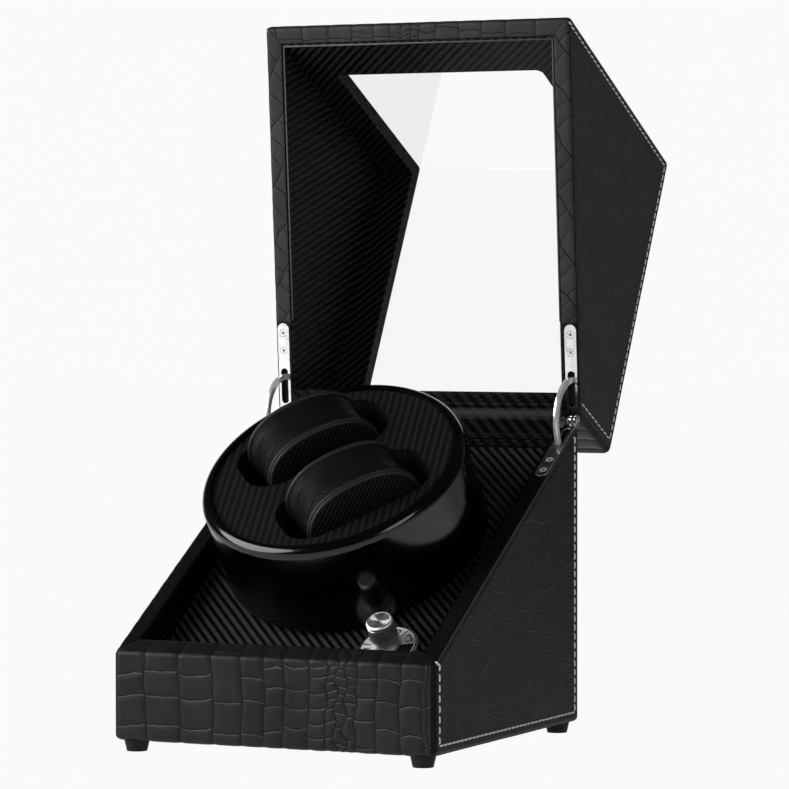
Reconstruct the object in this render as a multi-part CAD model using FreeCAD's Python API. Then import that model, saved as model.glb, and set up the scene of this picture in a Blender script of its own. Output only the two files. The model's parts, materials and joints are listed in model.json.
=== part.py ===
import FreeCAD, Part
import math
import os

from FreeCAD import Placement, Rotation, Vector

# Watch winder box for two watches, with its lid open on the hinge stays.
# While it is built, x is across, y runs back from the front face and z up from the table.
# At export the frame moves to the middle of the floor area that the open box covers.

# Case: a plain box when closed, parted by a slanted plane that falls to the front
CASE_W = 180.0
CASE_D = 180.0
CASE_H = 204.0
SPLIT_FRONT = 45.0
SPLIT_REAR = 157.5
PANEL_T = 9.5
LINING_T = 1.2
LINING_DROP = 0.8
EDGE_R = 2.5
RIM_GAP = 0.8
FLOOR_T = 6.0

# Rubber feet, each held by one screw
FOOT_H = 6.0
FOOT_TOP_R = 6.6
FOOT_LOW_R = 5.2
FOOT_INSET_X = 9.5
FOOT_INSET_Y = 7.0
FOOT_SINK_R = 3.0
FOOT_SINK_H = 3.0
FOOT_SCREW_R = 1.3
FOOT_SCREW_L = 8.0
FOOT_HEAD_R = 2.6
FOOT_HEAD_H = 1.8

# Window: one bent clear sheet let into the lid from outside
WINDOW_W = 122.0
WINDOW_SILL = 84.0
WINDOW_REAR = 30.0
WINDOW_CORNER_R = 4.0
WINDOW_T = 2.0
WINDOW_SINK = 1.0
WINDOW_LAP = 5.0
WINDOW_BEND_R = 4.0

# Quadrant hinges: leaves let flush into the rims, knuckles behind the rear face
LID_OPEN = 118.0
HINGE_OUT = 2.0
LEAF_W = 7.0
LEAF_L = 51.0
LEAF_T = 2.0
LEAF_SCREWS = (36.0, 45.5)
LEAF_SCREW_R = 0.9
LEAF_SCREW_L = 9.0
LEAF_HEAD_R = 1.9
LEAF_HEAD_H = 1.2
SLOT_FROM = 7.0
SLOT_TO = 26.0
SLOT_W = 4.0
KNUCKLE_R = 2.4
KNUCKLE_MID = 2.4
KNUCKLE_GAP = 0.3
PIN_R = 1.0
STAY_R = 21.5
STAY_W = 3.0
STAY_T = 2.2
STAY_HEAD_R = 1.8
STAY_HEAD_L = 4.8
STAY_SHARE = 0.225

# Deck: the slanted inner panel that carries the drum and the knob
DECK_FRONT = 19.0
DECK_TILT = 36.5
DECK_T = 4.0
CLEAT_T = 8.0
CLEAT_END = 6.0

# Drum and its two wells, drawn upright on the deck with z along the drum's axis
DRUM_SET_BACK = 10.5
DRUM_R = 70.0
DRUM_TOP = 56.2
DRUM_LOW = 2.0
DRUM_WALL = 3.0
DRUM_HEEL = 2.5
DRUM_RIM_R = 5.0
DRUM_MOUTH_R = 64.5
DRUM_LEDGE = 3.0
DRUM_TURN = 44.0
FACE_DROP = 2.0
FACE_T = 2.5
HUB_R = 9.0
HUB_TOP = 16.0
HUB_CAP = 3.0
WELL_L = 81.0
WELL_W = 42.0
WELL_R = 16.0
WELL_OFFSET = 28.0
CUP_T = 1.5
CUSHION_L = 62.0
CUSHION_W = 38.0
CUSHION_H = 44.0
CUSHION_END_R = 15.0
CUSHION_RISE = 17.0
# Places across a cushion, as shares of its half width, and the section's size there
CUSHION_SHARES = ((0.0, 0.965), (0.45, 0.98), (0.78, 1.0), (0.9, 0.94), (0.97, 0.8), (1.0, 0.6))

# Drive under the deck
SHAFT_R = 3.0
SHAFT_END = -27.0
BUSH_R = 6.0
BUSH_END = -9.0
BUSH_FLANGE_R = 9.0
BUSH_FLANGE_T = 1.0
WASHER_R = 7.0
WASHER_T = 0.7
HUB_SCREW_R = 1.5
HUB_SCREW_L = 9.0
HUB_HEAD_R = 2.8
HUB_HEAD_H = 2.2
GEAR_MODULE = 1.0
GEAR_TEETH = 48
PINION_TEETH = 12
GEAR_TOP = -14.0
GEAR_T = 6.0
GEAR_BOSS_R = 7.0
GEAR_TIP_SHARE = 0.8
GEAR_ROOT_SHARE = 1.2
GEAR_BACKLASH = 0.3
PRESSURE_ANGLE = 20.0
BRACKET_TOP = -22.0
BRACKET_T = 2.0
BRACKET_X = (-54.0, 30.0)
BRACKET_Y = 28.0
BRACKET_R = 5.0
PILLAR_R = 3.5
PILLAR_INSET = 6.5
MOTOR_SHAFT_R = 2.0
MOTOR_SHAFT_IN = 6.0
GEARBOX_R = 15.0
GEARBOX_L = 22.0
MOTOR_R = 12.0
MOTOR_L = 28.0
MOTOR_NOSE_R = 4.0
MOTOR_NOSE_L = 3.0

# Control: rotary switch under the deck, dial plate and knob on it
KNOB_X = 45.5
KNOB_Y = 40.0
KNOB_LOW_R = 7.4
KNOB_TOP_R = 7.0
KNOB_H = 17.0
KNOB_FOOT = 1.4
KNOB_CHAMFER = 0.8
KNOB_SINK_R = 6.0
KNOB_SINK_H = 3.2
KNOB_BORE_H = 12.0
DIAL_R = 15.5
DIAL_T = 0.8
SWITCH_R = 8.5
SWITCH_H = 8.0
SWITCH_NECK_R = 3.5
SWITCH_NECK_TOP = 4.0
SWITCH_SHAFT_R = 3.0
SWITCH_SHAFT_IN = 6.0
NUT_R = 5.2
NUT_T = 2.0

# Power inlet in the rear panel, and the control board on the floor
INLET_X = 50.0
INLET_Z = 22.0
INLET_R = 4.0
INLET_L = 17.0
INLET_FLANGE_R = 5.6
INLET_FLANGE_T = 1.4
INLET_BORE_R = 2.8
INLET_BORE_L = 9.5
INLET_PIN_R = 1.0
BOARD_X = 34.0
BOARD_Y = 128.0
BOARD_W = 54.0
BOARD_D = 38.0
BOARD_T = 1.6
BOARD_STAND = 6.0
BOARD_PILLAR_R = 2.5
BOARD_INSET = 4.0
CHIP_W = 16.0
CHIP_D = 6.0
CHIP_H = 2.5
DRIVER_X = 17.0
DRIVER_W = 10.0
DRIVER_D = 14.0
DRIVER_H = 6.0
HEADER_X = -18.0
HEADER_W = 8.0
HEADER_D = 20.0
HEADER_H = 7.0
CAPACITOR_X = 4.0
CAPACITOR_Y = 11.0
CAPACITOR_R = 4.0
CAPACITOR_H = 9.0

# Clearances
RUN = 0.05
FIT = 0.15
SEAT = 0.3
PROUD = 1.0

# Places that follow from the sizes above
X_AXIS = Vector(1, 0, 0)
ORIGIN = Vector(0, 0, 0)
UNDERSIDE = FOOT_H
TOP = FOOT_H + CASE_H
HALF_W = CASE_W / 2
INNER_X = HALF_W - PANEL_T
INNER_FRONT = PANEL_T
INNER_REAR = CASE_D - PANEL_T
DRUM_Y = CASE_D / 2 + DRUM_SET_BACK
SPLIT_ANGLE = math.degrees(math.atan2(SPLIT_REAR - SPLIT_FRONT, CASE_D))
SPLIT_RISE = math.tan(math.radians(SPLIT_ANGLE))
RIM_STEP = RIM_GAP / 2 / math.cos(math.radians(SPLIT_ANGLE))
DECK_RISE = math.tan(math.radians(DECK_TILT))
HINGE_X = HALF_W - PANEL_T / 2
PIVOT_Y = CASE_D + HINGE_OUT
FACE_TOP = DRUM_TOP - FACE_DROP
FACE_LOW = FACE_TOP - FACE_T
CUSHION_MID = FACE_TOP + CUSHION_RISE - CUSHION_H / 2
CUP_FLOOR = CUSHION_MID - CUSHION_H / 2 - SEAT
GEAR_CENTRES = GEAR_MODULE * (GEAR_TEETH + PINION_TEETH) / 2


def parting_z(y):
    """Height of the parting plane."""
    return UNDERSIDE + SPLIT_FRONT + y * SPLIT_RISE


def deck_z(y):
    """Height of the deck's upper face."""
    return UNDERSIDE + DECK_FRONT + y * DECK_RISE


PIVOT = Vector(0, PIVOT_Y, parting_z(PIVOT_Y))
LID_POSE = Placement(ORIGIN, Rotation(X_AXIS, -LID_OPEN), PIVOT)
DECK_FRAME = Placement(Vector(0, DRUM_Y, deck_z(DRUM_Y)), Rotation(X_AXIS, DECK_TILT))
KNOB_PLACE = Vector(KNOB_X, (KNOB_Y - DRUM_Y) / math.cos(math.radians(DECK_TILT)), 0)
STAY_HEAD_ANGLE = math.degrees(math.asin((RIM_GAP / 2 + LEAF_T + STAY_HEAD_R + FIT) / STAY_R))
STAY_HEAD_REACH = math.degrees(math.asin((STAY_HEAD_R + SEAT) / STAY_R))


# Forms

def face_of(points):
    return Part.Face(Part.makePolygon(points + points[:1]))


def prism(outline, x_low, x_high):
    """An outline in y and z, drawn out across the box."""
    return face_of([Vector(x_low, y, z) for y, z in outline]).extrude(Vector(x_high - x_low, 0, 0))


def block(x, y, z):
    """A box between the low and high values given for each axis."""
    return Part.makeBox(x[1] - x[0], y[1] - y[0], z[1] - z[0], Vector(x[0], y[0], z[0]))


def rod(radius, low, high, at=(0.0, 0.0)):
    return Part.makeCylinder(radius, high - low, Vector(at[0], at[1], low))


def cross_rod(radius, x_low, x_high, y=0.0, z=0.0):
    return Part.makeCylinder(radius, x_high - x_low, Vector(x_low, y, z), X_AXIS)


def turned(outline):
    """A closed outline of radius and height, turned about z."""
    face = face_of([Vector(r, 0, z) for r, z in outline])
    return face.revolve(ORIGIN, Vector(0, 0, 1), 360)


def rounded_block(length, width, radius, low, high):
    """A block about the z axis with its upright corners rounded."""
    body = block((-length / 2, length / 2), (-width / 2, width / 2), (low, high))
    upright = [e for e in body.Edges if abs(e.tangentAt(e.FirstParameter).z) > 0.5]
    return body.makeFillet(radius, upright)


def joined(*shapes):
    whole = shapes[0].multiFuse(list(shapes[1:]))
    return whole.removeSplitter()


def moved(shape, placement):
    return shape.transformed(placement.Matrix)


def shifted(shape, x=0.0, y=0.0, z=0.0):
    return shape.translated(Vector(x, y, z))


def on_deck(shape):
    return moved(shape, DECK_FRAME)


# Case walls

def wall_plans():
    """Plan outlines that part the walls at mitred corners."""
    out_x, out_y = HALF_W + PROUD, CASE_D + PROUD
    left_front, right_front = (-out_x, -PROUD), (out_x, -PROUD)
    left_rear, right_rear = (-out_x, out_y), (out_x, out_y)
    in_left_front, in_right_front = (-INNER_X, INNER_FRONT), (INNER_X, INNER_FRONT)
    in_left_rear, in_right_rear = (-INNER_X, INNER_REAR), (INNER_X, INNER_REAR)
    return {
        "front": [left_front, right_front, in_right_front, in_left_front],
        "rear": [right_rear, left_rear, in_left_rear, in_right_rear],
        "left": [left_rear, left_front, in_left_front, in_left_rear],
        "right": [right_front, right_rear, in_right_rear, in_right_front],
    }


def wall_regions():
    """One upright region for each wall, as high as the whole case."""
    low, high = UNDERSIDE - PROUD, TOP + PROUD
    regions = {}
    for side, plan in wall_plans().items():
        face = face_of([Vector(x, y, low) for x, y in plan])
        regions[side] = face.extrude(Vector(0, 0, high - low))
    return regions


def top_region():
    """The lid's top board, mitred to all four walls."""
    def rim(grow, z):
        x, front, rear = HALF_W + grow, -grow, CASE_D + grow
        points = [Vector(-x, front, z), Vector(x, front, z), Vector(x, rear, z), Vector(-x, rear, z)]
        return Part.makePolygon(points + points[:1])
    return Part.makeLoft([rim(PROUD, TOP + PROUD), rim(-PANEL_T, TOP - PANEL_T)], True, True)


def round_edged(shape):
    return shape.makeFillet(EDGE_R, shape.Edges)


def base_shell():
    low, high = UNDERSIDE, TOP + PROUD
    front, rear = parting_z(0) - RIM_STEP, parting_z(CASE_D) - RIM_STEP
    outer = round_edged(prism([(0, low), (CASE_D, low), (CASE_D, rear), (0, front)], -HALF_W, HALF_W))
    hollow = block((-INNER_X, INNER_X), (INNER_FRONT, INNER_REAR), (low - PROUD, high))
    inlet = Part.makeCylinder(
        INLET_R + FIT, PANEL_T + 2 * PROUD,
        Vector(INLET_X, INNER_REAR - PROUD, UNDERSIDE + INLET_Z), Vector(0, 1, 0))
    screw_end = FOOT_SINK_H + FOOT_SCREW_L + FIT
    foot_holes = [rod(FOOT_SCREW_R + RUN, low - PROUD, screw_end, at) for at in foot_places()]
    base_share = STAY_SHARE * LID_OPEN
    return outer.cut([hollow, inlet] + foot_holes + both_sides(hinge_cuts(base_share)))


def lid_shell():
    front, rear = parting_z(0) + RIM_STEP, parting_z(CASE_D) + RIM_STEP
    outer = round_edged(prism([(0, front), (CASE_D, rear), (CASE_D, TOP), (0, TOP)], -HALF_W, HALF_W))
    hollow = block((-INNER_X, INNER_X), (INNER_FRONT, INNER_REAR), (UNDERSIDE, TOP - PANEL_T))
    lid_share = (1 - STAY_SHARE) * LID_OPEN
    cuts = both_sides(hinge_cuts(lid_share).mirror(ORIGIN, Vector(0, 0, 1)))
    return outer.cut([hollow, window_rebate()] + window_holes() + cuts)


def base_floor():
    return block((-INNER_X, INNER_X), (INNER_FRONT, INNER_REAR), (UNDERSIDE, UNDERSIDE + FLOOR_T))


def base_linings():
    """Lining boards that stand on the deck and stop just under the rims."""
    def upright(y_low, y_high, x_low, x_high):
        outline = [(y_low, deck_z(y_low)), (y_high, deck_z(y_high))]
        outline += [(y, parting_z(y) - RIM_STEP - LINING_DROP) for y in (y_high, y_low)]
        return prism(outline, x_low, x_high)
    within = INNER_X - LINING_T
    return {
        "left": upright(INNER_FRONT, INNER_REAR, -INNER_X, -within),
        "right": upright(INNER_FRONT, INNER_REAR, within, INNER_X),
        "front": upright(INNER_FRONT, INNER_FRONT + LINING_T, -within, within),
        "rear": upright(INNER_REAR - LINING_T, INNER_REAR, -within, within),
    }


def lid_linings():
    """Lining boards behind all five walls of the lid, open at the window."""
    ceiling = TOP - PANEL_T
    within, under = INNER_X - LINING_T, ceiling - LINING_T

    def upright(y_low, y_high, z_high, x_low, x_high):
        outline = [(y, parting_z(y) + RIM_STEP + LINING_DROP) for y in (y_low, y_high)]
        return prism(outline + [(y_high, z_high), (y_low, z_high)], x_low, x_high)
    boards = {
        "left": upright(INNER_FRONT, INNER_REAR, ceiling, -INNER_X, -within),
        "right": upright(INNER_FRONT, INNER_REAR, ceiling, within, INNER_X),
        "front": upright(INNER_FRONT, INNER_FRONT + LINING_T, under, -within, within),
        "rear": upright(INNER_REAR - LINING_T, INNER_REAR, under, -within, within),
        "top": block((-within, within), (INNER_FRONT, INNER_REAR), (under, ceiling)),
    }
    for side in ("front", "top"):
        boards[side] = boards[side].cut(window_holes())
    return boards


# Window

def window_holes():
    """The clear openings through the lid's front and top."""
    x = (-WINDOW_W / 2, WINDOW_W / 2)
    sill, rear = UNDERSIDE + WINDOW_SILL, CASE_D - WINDOW_REAR
    inside = PANEL_T + LINING_T + PROUD
    front_hole = block(x, (-PROUD, inside), (sill, TOP + PROUD))
    top_hole = block(x, (-PROUD, rear), (TOP - inside, TOP + PROUD))
    sill_edges = [e for e in front_hole.Edges if e.BoundBox.ZMax < sill + FIT and e.BoundBox.YLength > FIT]
    rear_edges = [e for e in top_hole.Edges if e.BoundBox.YMin > rear - FIT and e.BoundBox.ZLength > FIT]
    return [
        front_hole.makeFillet(WINDOW_CORNER_R, sill_edges),
        top_hole.makeFillet(WINDOW_CORNER_R, rear_edges),
    ]


def bent_path(depth, low, rear):
    """The edges of a line at that depth under the lid's front and top faces, bent over the front edge."""
    bend = WINDOW_SINK + WINDOW_BEND_R - depth
    mid_y, mid_z = depth + bend, TOP - depth - bend
    slant = bend * math.sqrt(0.5)
    points = [(depth, low), (depth, mid_z), (mid_y - slant, mid_z + slant), (mid_y, TOP - depth), (rear, TOP - depth)]
    start, bend_start, bend_mid, bend_end, end = [Vector(0, y, z) for y, z in points]
    return [
        Part.LineSegment(start, bend_start).toShape(),
        Part.Arc(bend_start, bend_mid, bend_end).toShape(),
        Part.LineSegment(bend_end, end).toShape(),
    ]


def closed_profile(path, others, half_width):
    """A profile between a path and the points that close it, drawn out across the lid."""
    points = [path[-1].Vertexes[-1].Point] + others + [path[0].Vertexes[0].Point]
    wire = Part.Wire(path + Part.makePolygon(points).Edges)
    return shifted(Part.Face(wire).extrude(Vector(2 * half_width, 0, 0)), x=-half_width)


def window_rebate():
    """The step in the lid's outside that the sheet lies in."""
    low, rear = UNDERSIDE + WINDOW_SILL - WINDOW_LAP, CASE_D - WINDOW_REAR + WINDOW_LAP
    path = bent_path(WINDOW_SINK + WINDOW_T, low, rear)
    outside = [Vector(0, rear, TOP + PROUD), Vector(0, -PROUD, TOP + PROUD), Vector(0, -PROUD, low)]
    return closed_profile(path, outside, WINDOW_W / 2 + WINDOW_LAP)


def window_sheet():
    low = UNDERSIDE + WINDOW_SILL - WINDOW_LAP + FIT
    rear = CASE_D - WINDOW_REAR + WINDOW_LAP - FIT
    inner = bent_path(WINDOW_SINK + WINDOW_T, low, rear)
    outer = bent_path(WINDOW_SINK, low, rear)
    ends = [
        Part.makePolygon([inner[-1].Vertexes[-1].Point, outer[-1].Vertexes[-1].Point]).Edges[0],
        Part.makePolygon([outer[0].Vertexes[0].Point, inner[0].Vertexes[0].Point]).Edges[0],
    ]
    wire = Part.Wire(Part.__sortEdges__(inner + outer + ends))
    half = WINDOW_W / 2 + WINDOW_LAP - FIT
    return shifted(Part.Face(wire).extrude(Vector(2 * half, 0, 0)), x=-half)


# Hinges, drawn about the pin with y forward along the base rim and z down into the base

def hinge_frame(x):
    return Placement(Vector(x, PIVOT.y, PIVOT.z), Rotation(X_AXIS, 180 + SPLIT_ANGLE))


def both_sides(shape):
    return [moved(shape, hinge_frame(x)) for x in (-HINGE_X, HINGE_X)]


def leaf_outline(grow, low, high):
    """The flat of a leaf, square at the pin and round at its free end."""
    half = LEAF_W / 2
    centre = LEAF_L - half
    flat = block((-half - grow, half + grow), (-grow, centre), (low, high))
    return joined(flat, rod(half + grow, low, high, (0, centre)))


def sector(inner, outer, half_x, start, end):
    """A bent bar about the pin, between two angles from the base rim."""
    turn = math.radians(start)

    def at(x, radius):
        return Vector(x, radius * math.cos(turn), radius * math.sin(turn))
    corners = [at(-half_x, inner), at(half_x, inner), at(half_x, outer), at(-half_x, outer)]
    return face_of(corners).revolve(ORIGIN, X_AXIS, end - start)


def hinge_cuts(stay_travel):
    """What one hinge takes out of a rim: leaf recess, stay mortise, knuckle notch and screw holes."""
    half = LEAF_W / 2
    floor = RIM_GAP / 2 + LEAF_T
    recess = leaf_outline(FIT, -PROUD, floor)
    notch = cross_rod(KNUCKLE_R + SEAT, -half - FIT, half + FIT)
    reach = STAY_HEAD_ANGLE + stay_travel + 2 * STAY_HEAD_REACH
    side = STAY_HEAD_R + SEAT
    mortise = sector(STAY_R - side, STAY_R + side, STAY_HEAD_L / 2 + SEAT, 0, reach)
    holes = [rod(LEAF_SCREW_R + RUN, 0, LEAF_SCREW_L + PROUD, (0, y)) for y in LEAF_SCREWS]
    return joined(recess, notch, mortise, *holes)


def knuckle_spans():
    """Where the knuckles stand along the pin: the lid's in the middle, the base's each side."""
    half, mid = LEAF_W / 2, KNUCKLE_MID / 2
    outer = mid + KNUCKLE_GAP
    return [(-mid, mid)], [(-half, -outer), (outer, half)]


def leaf(own, other):
    """One leaf, with its own knuckles and room for the other leaf's."""
    low, high = RIM_GAP / 2, RIM_GAP / 2 + LEAF_T
    body = joined(leaf_outline(0, low, high), *[cross_rod(KNUCKLE_R, a, b) for a, b in own])
    room = [cross_rod(KNUCKLE_R + KNUCKLE_GAP, a - KNUCKLE_GAP, b + KNUCKLE_GAP) for a, b in other]
    bore = cross_rod(PIN_R + RUN, -LEAF_W, LEAF_W)
    half_slot = SLOT_W / 2
    slot = joined(
        block((-half_slot, half_slot), (SLOT_FROM + half_slot, SLOT_TO - half_slot), (-PROUD, high + PROUD)),
        rod(half_slot, -PROUD, high + PROUD, (0, SLOT_FROM + half_slot)),
        rod(half_slot, -PROUD, high + PROUD, (0, SLOT_TO - half_slot)))
    holes = [moved(screw_hole(), Placement(Vector(0, y, low), Rotation())) for y in LEAF_SCREWS]
    return body.cut(room + [bore, slot] + holes)


def screw_outline(grow, length):
    head, shank = LEAF_HEAD_R + grow, LEAF_SCREW_R + grow
    return [(0, 0), (head, 0), (shank, LEAF_HEAD_H), (shank, length), (0, length)]


def screw_hole():
    return turned(screw_outline(RUN, LEAF_T + PROUD))


def leaf_screws(y_flip):
    """The two countersunk screws of one leaf, flush with its face."""
    screws = [shifted(turned(screw_outline(0, LEAF_SCREW_L)), y=y, z=RIM_GAP / 2) for y in LEAF_SCREWS]
    return [s.mirror(ORIGIN, Vector(0, 0, 1)) if y_flip else s for s in screws]


def hinge_pin():
    return cross_rod(PIN_R, -LEAF_W / 2, LEAF_W / 2)


def quadrant_stay():
    """The curved bar through both leaves, with a cross head at each end that stops the open lid."""
    start, end = -LID_OPEN - STAY_HEAD_ANGLE, STAY_HEAD_ANGLE
    bar = sector(STAY_R - STAY_W / 2, STAY_R + STAY_W / 2, STAY_T / 2, start, end)
    heads = []
    for angle in (start, end):
        turn = math.radians(angle)
        heads.append(cross_rod(
            STAY_HEAD_R, -STAY_HEAD_L / 2, STAY_HEAD_L / 2,
            STAY_R * math.cos(turn), STAY_R * math.sin(turn)))
    return joined(bar, *heads)


# Feet

def foot_places():
    near, far = FOOT_INSET_Y, CASE_D - FOOT_INSET_Y
    side = HALF_W - FOOT_INSET_X
    return [(x, y) for y in (near, far) for x in (-side, side)]


def foot():
    hole = FOOT_SCREW_R + RUN
    return turned([
        (hole, FOOT_SINK_H), (FOOT_SINK_R, FOOT_SINK_H), (FOOT_SINK_R, 0),
        (FOOT_LOW_R, 0), (FOOT_TOP_R, FOOT_H), (hole, FOOT_H)])


def foot_screw():
    top = FOOT_SINK_H + FOOT_SCREW_L
    low = FOOT_SINK_H - FOOT_HEAD_H
    return turned([
        (0, low), (FOOT_HEAD_R, low), (FOOT_HEAD_R, FOOT_SINK_H),
        (FOOT_SCREW_R, FOOT_SINK_H), (FOOT_SCREW_R, top), (0, top)])


# Deck

def deck_panel():
    """The slanted board, from front wall to rear wall."""
    drop = DECK_T / math.cos(math.radians(DECK_TILT))
    outline = [(y, deck_z(y)) for y in (INNER_FRONT, INNER_REAR)]
    outline += [(y, deck_z(y) - drop) for y in (INNER_REAR, INNER_FRONT)]
    holes = [
        rod(BUSH_R + RUN, -DECK_T - PROUD, PROUD),
        rod(SWITCH_NECK_R + RUN, -DECK_T - PROUD, PROUD, (KNOB_PLACE.x, KNOB_PLACE.y)),
    ]
    return prism(outline, -INNER_X, INNER_X).cut([on_deck(h) for h in holes])


def deck_cleat(x_low):
    """A batten on a side wall that carries the deck's edge."""
    slant = math.cos(math.radians(DECK_TILT))
    front, rear = INNER_FRONT + CLEAT_END, INNER_REAR - CLEAT_END
    upper, lower = DECK_T / slant, (DECK_T + CLEAT_T) / slant
    outline = [(front, deck_z(front) - upper), (rear, deck_z(rear) - upper)]
    outline += [(rear, deck_z(rear) - lower), (front, deck_z(front) - lower)]
    return prism(outline, x_low, x_low + CLEAT_T)


# Drum

def drum_bowl():
    """The turned bowl: floor, hub, wall, round rim and the ledge that the face lies on."""
    bore = SHAFT_R + RUN
    floor_top = DRUM_LOW + DRUM_WALL
    inner = DRUM_R - DRUM_WALL
    ledge = DRUM_MOUTH_R - DRUM_LEDGE
    slant = inner - ledge
    rim_z, rim_r = DRUM_TOP - DRUM_RIM_R, DRUM_R - DRUM_RIM_R
    bow = DRUM_RIM_R * math.sqrt(0.5)
    before_rim = [
        (bore, DRUM_LOW), (DRUM_R - DRUM_HEEL, DRUM_LOW),
        (DRUM_R, DRUM_LOW + DRUM_HEEL), (DRUM_R, rim_z)]
    after_rim = [
        (rim_r, DRUM_TOP), (DRUM_MOUTH_R, DRUM_TOP), (DRUM_MOUTH_R, FACE_LOW), (ledge, FACE_LOW),
        (ledge, FACE_LOW - DRUM_LEDGE), (inner, FACE_LOW - DRUM_LEDGE - slant), (inner, floor_top),
        (HUB_R, floor_top), (HUB_R, HUB_TOP), (HUB_SCREW_R + RUN, HUB_TOP),
        (HUB_SCREW_R + RUN, HUB_TOP - HUB_CAP), (bore, HUB_TOP - HUB_CAP), (bore, DRUM_LOW)]
    start, end = Vector(DRUM_R, 0, rim_z), Vector(rim_r, 0, DRUM_TOP)
    arc = Part.Arc(start, Vector(rim_r + bow, 0, rim_z + bow), end).toShape()
    lines = [Part.makePolygon([Vector(r, 0, z) for r, z in run]).Edges for run in (before_rim, after_rim)]
    wire = Part.Wire(lines[0] + [arc] + lines[1])
    return Part.Face(wire).revolve(ORIGIN, Vector(0, 0, 1), 360)


def in_wells(shape):
    """A shape drawn about the drum's axis, set into the front and the rear well."""
    turn = Placement(ORIGIN, Rotation(Vector(0, 0, 1), DRUM_TURN))
    return {
        "front": moved(shifted(shape, y=-WELL_OFFSET), turn),
        "rear": moved(shifted(shape, y=WELL_OFFSET), turn),
    }


def drum_face():
    disc = rod(DRUM_MOUTH_R - FIT, FACE_LOW, FACE_TOP)
    hole = rounded_block(WELL_L, WELL_W, WELL_R, FACE_LOW - PROUD, FACE_TOP + PROUD)
    return disc.cut(list(in_wells(hole).values()))


def well_cup():
    outer = rounded_block(WELL_L + 2 * CUP_T, WELL_W + 2 * CUP_T, WELL_R + CUP_T, CUP_FLOOR - CUP_T, FACE_LOW)
    return outer.cut(rounded_block(WELL_L, WELL_W, WELL_R, CUP_FLOOR, FACE_LOW + PROUD))


def oval(half_l, half_h, end_r, y):
    """An upright oval of four arcs that run smoothly into each other."""
    crown_r = ((half_l - end_r) ** 2 + half_h ** 2 - end_r ** 2) / (2 * (half_h - end_r))
    end_x, crown_z = half_l - end_r, half_h - crown_r
    reach = math.hypot(end_x, crown_z)
    meet_x, meet_z = end_x + end_r * end_x / reach, -end_r * crown_z / reach

    def arc(*points):
        return Part.Arc(*[Vector(x, y, z) for x, z in points]).toShape()
    return Part.Wire([
        arc((-meet_x, meet_z), (0, half_h), (meet_x, meet_z)),
        arc((meet_x, meet_z), (half_l, 0), (meet_x, -meet_z)),
        arc((meet_x, -meet_z), (0, -half_h), (-meet_x, -meet_z)),
        arc((-meet_x, -meet_z), (-half_l, 0), (-meet_x, meet_z)),
    ])


def watch_cushion():
    """A stuffed oval roll: crowned ends, full seams and a waist drawn in where the strap lies."""
    half = CUSHION_W / 2
    form = [(-place, size) for place, size in reversed(CUSHION_SHARES[1:])] + list(CUSHION_SHARES)
    sections = [
        oval(size * CUSHION_L / 2, size * CUSHION_H / 2, size * CUSHION_END_R, place * half)
        for place, size in form]
    return shifted(Part.makeLoft(sections, True, False), z=CUSHION_MID)


# Drive

def drum_shaft():
    top = HUB_TOP - HUB_CAP
    tapped = rod(HUB_SCREW_R + RUN, HUB_TOP - HUB_SCREW_L - PROUD, top + PROUD)
    return rod(SHAFT_R, SHAFT_END, top).cut(tapped)


def hub_screw():
    low, high = HUB_TOP - HUB_SCREW_L, HUB_TOP + HUB_HEAD_H
    return turned([
        (0, low), (HUB_SCREW_R, low), (HUB_SCREW_R, HUB_TOP),
        (HUB_HEAD_R, HUB_TOP), (HUB_HEAD_R, high), (0, high)])


def bearing_bush():
    bore = SHAFT_R + RUN
    return turned([
        (bore, BUSH_END), (BUSH_R, BUSH_END), (BUSH_R, 0), (BUSH_FLANGE_R, 0),
        (BUSH_FLANGE_R, BUSH_FLANGE_T), (bore, BUSH_FLANGE_T)])


def thrust_washer():
    low, high = BUSH_FLANGE_T, BUSH_FLANGE_T + WASHER_T
    return rod(WASHER_R, low, high).cut(rod(SHAFT_R + RUN, low - PROUD, high + PROUD))


def involute(angle):
    return math.tan(angle) - angle


def gear_outline(teeth, turn):
    """Points round a spur gear: root, pitch and tip on each side of every tooth."""
    pitch_r = GEAR_MODULE * teeth / 2
    base_r = pitch_r * math.cos(math.radians(PRESSURE_ANGLE))
    root_r, tip_r = pitch_r - GEAR_ROOT_SHARE * GEAR_MODULE, pitch_r + GEAR_TIP_SHARE * GEAR_MODULE
    half_pitch = math.pi / (2 * teeth) - GEAR_BACKLASH / (2 * pitch_r)

    def half_angle(radius):
        here = involute(math.acos(min(1.0, base_r / radius)))
        return half_pitch + involute(math.radians(PRESSURE_ANGLE)) - here
    flank = [(r, half_angle(max(r, base_r))) for r in (root_r, pitch_r, tip_r)]
    points = []
    for tooth in range(teeth):
        middle = math.radians(turn) + 2 * math.pi * tooth / teeth
        sides = [(r, middle - a) for r, a in flank] + [(r, middle + a) for r, a in reversed(flank)]
        points += [Vector(r * math.cos(a), r * math.sin(a), GEAR_TOP - GEAR_T) for r, a in sides]
    return points


def drive_gear():
    """The large gear on the drum shaft, with a boss up to the bush."""
    gear = face_of(gear_outline(GEAR_TEETH, 0)).extrude(Vector(0, 0, GEAR_T))
    boss = rod(GEAR_BOSS_R, GEAR_TOP, BUSH_END - SEAT)
    return joined(gear, boss).cut(rod(SHAFT_R + RUN, SHAFT_END, 0))


def motor_pinion():
    """The small gear, turned half a tooth so that it meshes at rest."""
    gear = face_of(gear_outline(PINION_TEETH, 180.0 / PINION_TEETH)).extrude(Vector(0, 0, GEAR_T))
    bore = rod(MOTOR_SHAFT_R + RUN, GEAR_TOP - GEAR_T - PROUD, GEAR_TOP + PROUD)
    return shifted(gear.cut(bore), x=-GEAR_CENTRES)


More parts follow.
